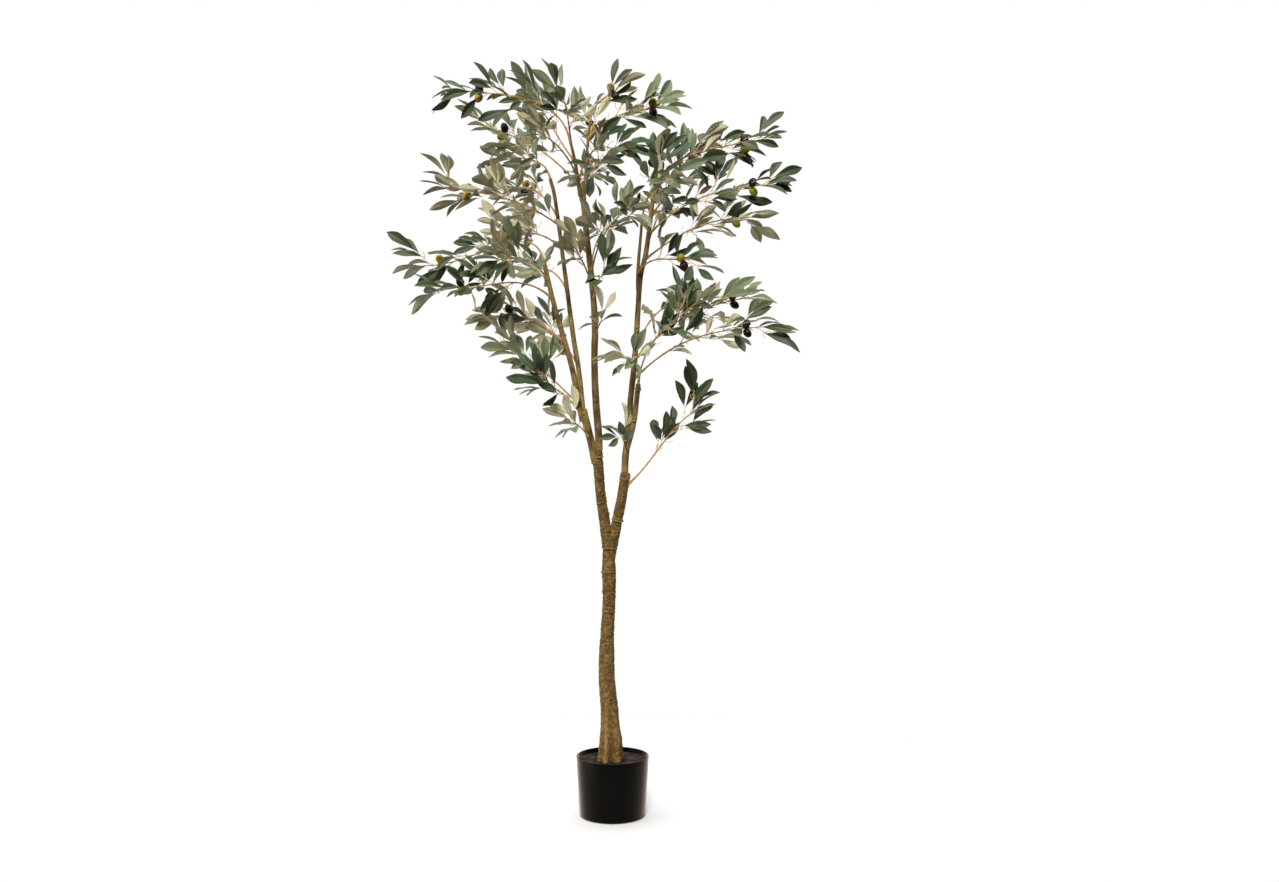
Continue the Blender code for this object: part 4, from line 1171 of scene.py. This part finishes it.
def blade_faces(grid, flip):
    """Faces of one side of the blade, and whether each is part of the midrib."""
    faces, ribs = [], []
    for row in range(len(BLADE_ROWS) - 1):
        for column in range(len(BLADE_COLUMNS) - 1):
            corners = [
                grid[row, column], grid[row + 1, column],
                grid[row + 1, column + 1], grid[row, column + 1]]
            corners = list(dict.fromkeys(int(corner) for corner in corners))
            faces.append(corners[::-1] if flip else corners)
            ribs.append(column == RIB_COLUMN)
    return faces, ribs


def blade_points(leaves, chance):
    """The upper and under points of many leaves at once. Each has its own bend, fold, twist,
    sideways sweep and slanted tip."""
    count = len(leaves)
    root, along, face = (np.array([leaf[part] for leaf in leaves]) for part in range(3))
    size = np.array([leaf[3] for leaf in leaves])
    side = np.cross(face, along)
    length = (LEAF_LENGTH * size)[:, None, None]
    t = np.array(BLADE_ROWS)[None, :, None]
    c = np.array(BLADE_COLUMNS)[None, None, :]

    def drawn(low, high):
        return chance.uniform(low, high, count)[:, None, None]

    widest = drawn(*BLADE_WIDEST) + drawn(-BLADE_LOPSIDED, BLADE_LOPSIDED) * np.sign(c)
    greatest = 0.5 * LEAF_WIDTH * size[:, None, None] * drawn(*BLADE_WIDTHS)
    outline = blade_outline(t, widest, drawn(*BLADE_TIP_POWERS))
    half = greatest * outline
    twist = drawn(-BLADE_TWIST, BLADE_TWIST) * t
    fold = drawn(*BLADE_FOLDS)
    ripple = drawn(0.0, BLADE_RIPPLE) * np.sin(2 * np.pi * (BLADE_RIPPLES * t + drawn(0, 1)))
    sweep = length * (drawn(-BLADE_SWEEP, BLADE_SWEEP) * t ** 2)
    slanted = np.maximum(t - SLANT_START, 0)
    slant = greatest * drawn(-TIP_SLANT, TIP_SLANT) * slanted / SLANT_SPAN
    bend = drawn(*BLADE_BENDS)
    rise = -length * bend * t ** 2 + length * BLADE_ARCH * np.sin(np.pi * t)
    from_root = LEAF_STALK + (1 - LEAF_STALK) * t
    forward = length * (from_root - 0.5 * bend ** 2 * t ** 3)
    lift = half * np.abs(c) * (fold + ripple)
    inside = np.where((t > 0) & (t < 1), 1.0, 0.0)
    pleat = np.array(BLADE_PLEATS)[None, None, :] * inside * outline
    middle = np.abs(c) < 0.1
    flat = half * c
    across_leaf = sweep + slant + flat * np.cos(twist) - lift * np.sin(twist)
    sheet = rise + flat * np.sin(twist) + lift * np.cos(twist) + pleat
    thick = np.where(middle, RIB_THICKNESS, BLADE_THICKNESS) * inside

    def laid(out_of_leaf):
        parts = ((side, across_leaf), (along, forward + 0 * c), (face, out_of_leaf))
        return root[:, None, None, :] + sum(
            way[:, None, None, :] * part[..., None] for way, part in parts)

    return laid(sheet), laid(sheet - thick)


def make_leaves(name, sprays, finishes, seed):
    """All the leaves of some sprays as one mesh. Each spray has its own tint on both sides."""
    leaves = [leaf for spray in sprays for leaf in spray.leaves]
    tints = [TINTS[spray.order % len(TINTS)] for spray in sprays for _ in spray.leaves]
    upper, under, count = blade_grid()
    upper_points, under_points = blade_points(leaves, np.random.default_rng(seed))
    points = np.zeros((len(leaves), count, 3))
    points[:, under.ravel()] = under_points.reshape(len(leaves), -1, 3)
    points[:, upper.ravel()] = upper_points.reshape(len(leaves), -1, 3)
    top, top_ribs = blade_faces(upper, False)
    bottom, bottom_ribs = blade_faces(under, True)
    order = list(finishes)
    faces, numbers = [], []
    for index, (top_tint, under_tint) in enumerate(tints):
        start = index * count
        faces += [[start + corner for corner in face] for face in top + bottom]
        numbers += [order.index("upper_rib" if rib else top_tint) for rib in top_ribs]
        numbers += [order.index("under_rib" if rib else under_tint) for rib in bottom_ribs]
    piece = new_piece(name, points.reshape(-1, 3), faces, finishes.values(), numbers)
    place_piece(piece, [spray.name for spray in sprays])


def make_stems(sprays, finish):
    """The sprays' wire stems, swollen where they leave the limb and where twigs leave them."""
    bundle = Bundle()
    for spray in sprays:
        path = spray.curve
        foot = path[0] - (path[1] - path[0]).normalized() * 2 * STEM_RADIUS
        count = len(path)
        taper = np.linspace(STEM_RADIUS, STEM_TIP_RADIUS, count)
        swell = 1 + STEM_SWELL * np.exp(-np.arange(count) / SWELL_RINGS)
        for share in ADDED_TWIG_SHARES:
            swell[round(share * (count - 1))] += KNUCKLE
        radii = taper * swell
        bundle.add_tube([foot, *path], [radii[0], *radii], STEM_SIDES)
    piece = bundle.piece("spray_stems", [finish])
    place_piece(piece, [spray.name for spray in sprays])


def make_twigs(sprays, finish):
    """Side twigs, twiglets, bare hooks and the stalks of leaves and olives, all of thin wire."""
    bundle = Bundle()

    def add_wires(paths, profile, radius, sides):
        for path in paths:
            bundle.add_tube(path, np.array(profile) * radius, sides)

    for spray in sprays:
        add_wires(spray.side_twigs, TWIG_PROFILE, TWIG_RADIUS, TWIG_SIDES)
        add_wires(spray.twiglets, TWIGLET_PROFILE, TWIGLET_RADIUS, FINE_SIDES)
        add_wires(spray.hooks, HOOK_PROFILE, HOOK_RADIUS, FINE_SIDES)
        for root, along, _, size in spray.leaves:
            bare = along * LEAF_STALK * LEAF_LENGTH * size
            stalk = [root, root + bare, root + 2 * bare]
            add_wires([stalk], LEAF_STALK_PROFILE, LEAF_STALK_RADIUS, FINE_SIDES)
        for start, heading in spray.olives:
            stalk = [start + heading * share * STALK_LENGTH for share in (0, 0.6, 1.7)]
            add_wires([stalk], STALK_PROFILE, STALK_RADIUS, TWIG_SIDES)
    piece = bundle.piece("wire_twigs", [finish])
    place_piece(piece, [spray.name for spray in sprays])


def make_olives(sprays, finishes):
    """The olives: egg-shaped, dimpled at the stalk, and most pairs with one dark and one not."""
    bundle = Bundle()
    shares = np.linspace(0, 1, OLIVE_ROWS)[1:-1]
    length = OLIVE_LENGTH - 0.6 * STALK_LENGTH
    for spray in sprays:
        draw = random.Random(FINER_SEED - spray.order)
        widest = 0.5 * OLIVE_WIDTH * draw.uniform(*OLIVE_PLUMPNESS)
        pair = draw.choice(OLIVE_PAIRS)
        for place, (start, heading) in enumerate(spray.olives):
            foot = start + heading * STALK_LENGTH
            path = [foot + heading * length * 0.5 * (1 - math.cos(math.pi * t)) for t in shares]
            radii = widest * np.sin(np.pi * shares ** OLIVE_EGG)
            bundle.add_tube(path, radii, OLIVE_SIDES, pair[place])
    piece = bundle.piece("olives", finishes)
    place_piece(piece, [spray.name for spray in sprays if spray.olives])


# The pot and its fill

def turned(name, profile, finish, sharp=35):
    """A profile of (radius, height) points turned about the pot's axis, closed at both ends."""
    turns = np.linspace(0, 2 * np.pi, POT_STEPS, endpoint=False)
    points = [
        (radius * math.cos(turn), radius * math.sin(turn), height)
        for radius, height in profile for turn in turns]
    faces = tube_faces(len(profile), POT_STEPS)
    return new_piece(name, points, faces, [finish], sharp=sharp)


def arc(centre, radius, start, end, steps=6):
    """Points of (radius, height) on a part of a circle, with its angles in degrees."""
    angles = np.radians(np.linspace(start, end, steps))
    return [(centre[0] + radius * math.cos(a), centre[1] + radius * math.sin(a)) for a in angles]


def make_pot(finish):
    """The pot's thin shell, with a rounded rim and foot."""
    slope = (POT_TOP_RADIUS - POT_FOOT_RADIUS) / POT_HEIGHT
    inner_foot = POT_FOOT_RADIUS + slope * POT_FLOOR - POT_WALL
    outer = (POT_TOP_RADIUS - RIM_ROUNDING, POT_HEIGHT - RIM_ROUNDING)
    inner = (POT_TOP_RADIUS - POT_WALL + RIM_ROUNDING, POT_HEIGHT - RIM_ROUNDING)
    foot = (POT_FOOT_RADIUS - POT_FOOT_EDGE, POT_FOOT_EDGE)
    profile = [
        (AXIS_HOLE, 0), *arc(foot, POT_FOOT_EDGE, 270, 357, 8),
        *arc(outer, RIM_ROUNDING, 0, 90), *arc(inner, RIM_ROUNDING, 90, 180),
        (inner_foot, POT_FLOOR), (AXIS_HOLE, POT_FLOOR)]
    place_piece(turned("black_pot", profile, finish), ["pot"])


def hollow_share(place):
    """How much of the hollow round the trunk's foot is at this place, uneven round the foot."""
    foot_x, foot_y, _, foot_radius = LIMBS["trunk"][2][0]
    away = math.hypot(place.x - foot_x, place.y - foot_y) - foot_radius
    uneven = HOLLOW_SHARE + HOLLOW_UNEVEN * noise.noise(place * UNEVEN_A_METRE)
    return uneven * bell(max(away, 0), HOLLOW_WIDTH)


def fill_drop(place):
    """How far the fill's crumbly top lies under its level."""
    crumbs = FILL_CRUMB * noise.noise(place * CRUMBS_A_METRE)
    lumps = FILL_LUMP * noise.noise(place * LUMPS_A_METRE)
    return FILL_LUMP - (crumbs + lumps) + HOLLOW_DEPTH * hollow_share(place)


def make_fill(finish, chip_finish):
    """The cast plug: a rough crumbly top with a hollow round the trunk's foot and a pale chip on
    it, and a plain side and underside against the pot."""
    slope = (POT_TOP_RADIUS - POT_FOOT_RADIUS) / POT_HEIGHT
    inner = POT_FOOT_RADIUS - POT_WALL - 2 * GAP
    low = POT_FLOOR + GAP
    edge = inner + slope * FILL_TOP
    profile = [(AXIS_HOLE, low), (inner + slope * low, low)]
    profile += [(edge * (1 - step / FILL_RINGS), FILL_TOP) for step in range(FILL_RINGS)]
    fill = turned("cast_fill", profile, finish)
    for vertex in fill.data.vertices:
        if vertex.co.z >= FILL_TOP:
            vertex.co.z -= fill_drop(vertex.co)
    places = [vertex.co for vertex in fill.data.vertices]
    # Painted light on the lumps, and painted shade between them and in the hollow round the foot.
    mark_relief(fill, [
        noise.noise(place * LUMPS_A_METRE) - HOLLOW_PAINTED_SHADE * hollow_share(place)
        for place in places])
    place_piece(fill, ["pot_fill"])
    bundle = Bundle()
    x, y = CHIP_PLACE
    level = FILL_TOP - fill_drop(Vector((x, y, FILL_TOP))) + CHIP_SIZE[1]
    path = [(x + CHIP_SIZE[0] * share, y, level) for share in CHIP_ROWS]
    bundle.add_tube(path, np.array(CHIP_PROFILE) * CHIP_SIZE[1], CHIP_SIDES)
    chip = bundle.piece("pale_chip", [chip_finish])
    place_piece(chip, [])


# The studio

SURROUND = "#FFFDFB"        # the white of the lights
FLOOR_RADIUS = 1.1
CAMERA_LENS = 35.47         # millimetres, on a sensor 36 wide
CAMERA_SENSOR = 36
CAMERA_PLACE = (0.064, -3.0, 0.8895)


def make_floor(finish):
    """A round board, so that the floor lights the crown's underside only a little."""
    turns = np.linspace(0, 2 * np.pi, POT_STEPS, endpoint=False)
    edge = [(FLOOR_RADIUS * math.cos(turn), FLOOR_RADIUS * math.sin(turn), 0) for turn in turns]
    new_piece("studio_floor", edge, [tuple(range(POT_STEPS))], [finish])


def soft_light(name, comes_from, degrees, strength):
    """A broad even light from one side, as wide as a softbox that fills this many degrees."""
    lamp = bpy.data.lights.new(name, "SUN")
    lamp.angle = math.radians(degrees)
    lamp.energy = strength
    lamp.color = linear(SURROUND)[:3]
    holder = bpy.data.objects.new(name, lamp)
    holder.rotation_euler = Vector(comes_from).to_track_quat("Z", "Y").to_euler()
    bpy.context.scene.collection.objects.link(holder)


def light_studio():
    """A white surround, bright behind the tree, dim in front of it and dark below, with a broad
    softbox above, a low one at the left and a small lamp high in front, whose shadows fall behind
    the pot. What the camera sees of the surround is plain white."""
    world = bpy.data.worlds.new("white_surround")
    world.use_nodes = True
    tree = world.node_tree
    way = add_node(tree, "ShaderNodeTexCoord", {}).outputs["Generated"]
    parts = add_node(tree, "ShaderNodeSeparateXYZ", {"Vector": way}).outputs
    wall = add_node(tree, "ShaderNodeMapRange", {
        "Value": parts["Y"], "From Min": -0.3, "From Max": 0.6, "To Min": 0.09, "To Max": 0.95})
    above = add_node(tree, "ShaderNodeMapRange", {
        "Value": parts["Z"], "From Min": -0.15, "From Max": 0.15, "To Min": 0.08, "To Max": 1.0})
    glow = add_node(tree, "ShaderNodeMath", {
        0: wall.outputs["Result"], 1: above.outputs["Result"]}, operation="MULTIPLY")
    seen = add_node(tree, "ShaderNodeLightPath", {}).outputs["Is Camera Ray"]
    level = add_node(tree, "ShaderNodeMath", {0: seen, 1: glow.outputs[0]}, operation="MAXIMUM")
    colour = add_node(tree, "ShaderNodeMixRGB", {
        "Fac": seen, "Color1": linear(SURROUND), "Color2": (1, 1, 1, 1)})
    wire(tree, tree.nodes["Background"], {
        "Color": colour.outputs["Color"], "Strength": level.outputs[0]})
    bpy.context.scene.world = world
    soft_light("softbox_above", (-0.1, 0.0, 1.0), 66, 2.6)
    soft_light("softbox_left", (-0.95, -0.30, 0.15), 40, 2.0)
    soft_light("small_lamp", (-0.03, -0.80, 0.66), 18, 4.0)
    bpy.context.scene.view_settings.view_transform = "Standard"


def place_camera():
    """Level, three metres in front, at half the tree's height."""
    camera = bpy.data.cameras.new("camera")
    camera.lens = CAMERA_LENS
    camera.sensor_width = CAMERA_SENSOR
    holder = bpy.data.objects.new("camera", camera)
    holder.location = CAMERA_PLACE
    holder.rotation_euler = (math.radians(90), 0, 0)
    bpy.context.scene.collection.objects.link(holder)
    bpy.context.scene.camera = holder


# The prints of the leaves: main colour and the darker one of its mottle
PRINTS = {
    "deep_green": ("#3F4A2D", "#303920"), "olive_green": ("#606A4B", "#4C553A"),
    "moss_green": ("#445639", "#33442A"), "sage_green": ("#747E5D", "#5F6949"),
    "grey_green": ("#A4A685", "#909170"), "khaki": ("#B6B08D", "#A19A77"),
    "pale_grey": ("#D4CDAA", "#BFB994"),
    "upper_rib": ("#626C4C", "#525C3E"), "under_rib": ("#D2CBAD", "#BFB896"),
}

# The prints that the sprays take in turn, on the upper side and the underside of their leaves
TINTS = (
    ("deep_green", "grey_green"), ("olive_green", "khaki"), ("moss_green", "grey_green"),
    ("deep_green", "pale_grey"), ("sage_green", "khaki"), ("moss_green", "khaki"),
    ("deep_green", "khaki"), ("sage_green", "pale_grey"),
)

# Parts of the crown, by the x between which their sprays' stems end
CROWN_PARTS = (("left", -1, -0.2), ("middle", -0.2, 0.1), ("right", 0.1, 1))


def main():
    bark = painted_paper_bark("painted_paper_bark", "#241808", "#513D1C", "#886D3D")
    stem_bark = moulded_plastic_stem("moulded_plastic_stem", "#433416", "#897040")
    for name in LIMBS:
        make_limb(name, bark if name in WRAPPED else stem_bark)

    sprays = grow_sprays()
    cloths = {
        name: printed_cloth(f"printed_cloth_{name}", *colours)
        for name, colours in PRINTS.items()}
    for seed, (part, low, high) in enumerate(CROWN_PARTS, 1):
        beside = [spray for spray in sprays if low <= spray.end.x < high]
        make_leaves(f"leaves_{part}", beside, cloths, seed)
    make_stems(sprays, paper_covered_wire("brown_paper_wire", "#86622F", "#BF9862"))
    make_twigs(sprays, paper_covered_wire("tan_paper_wire", "#B69668", "#E6CEA6"))
    make_olives(sprays, [
        lacquered_foam("lacquered_foam_dark", "#12080A", "#2A1315"),
        lacquered_foam("lacquered_foam_unripe", "#6B690A", "#A39712"),
        lacquered_foam("lacquered_foam_turning", "#94800F", "#C08A12")])

    make_pot(moulded_polypropylene("moulded_polypropylene", "#030201"))
    make_fill(
        coloured_cement("coloured_cement", "#0C0806", "#3A2F26"),
        coloured_cement("pale_grit", "#B9AE9A", "#E4DCCB"))
    make_floor(matt_board("matt_board", "#C3C3C3"))
    light_studio()
    place_camera()


main()
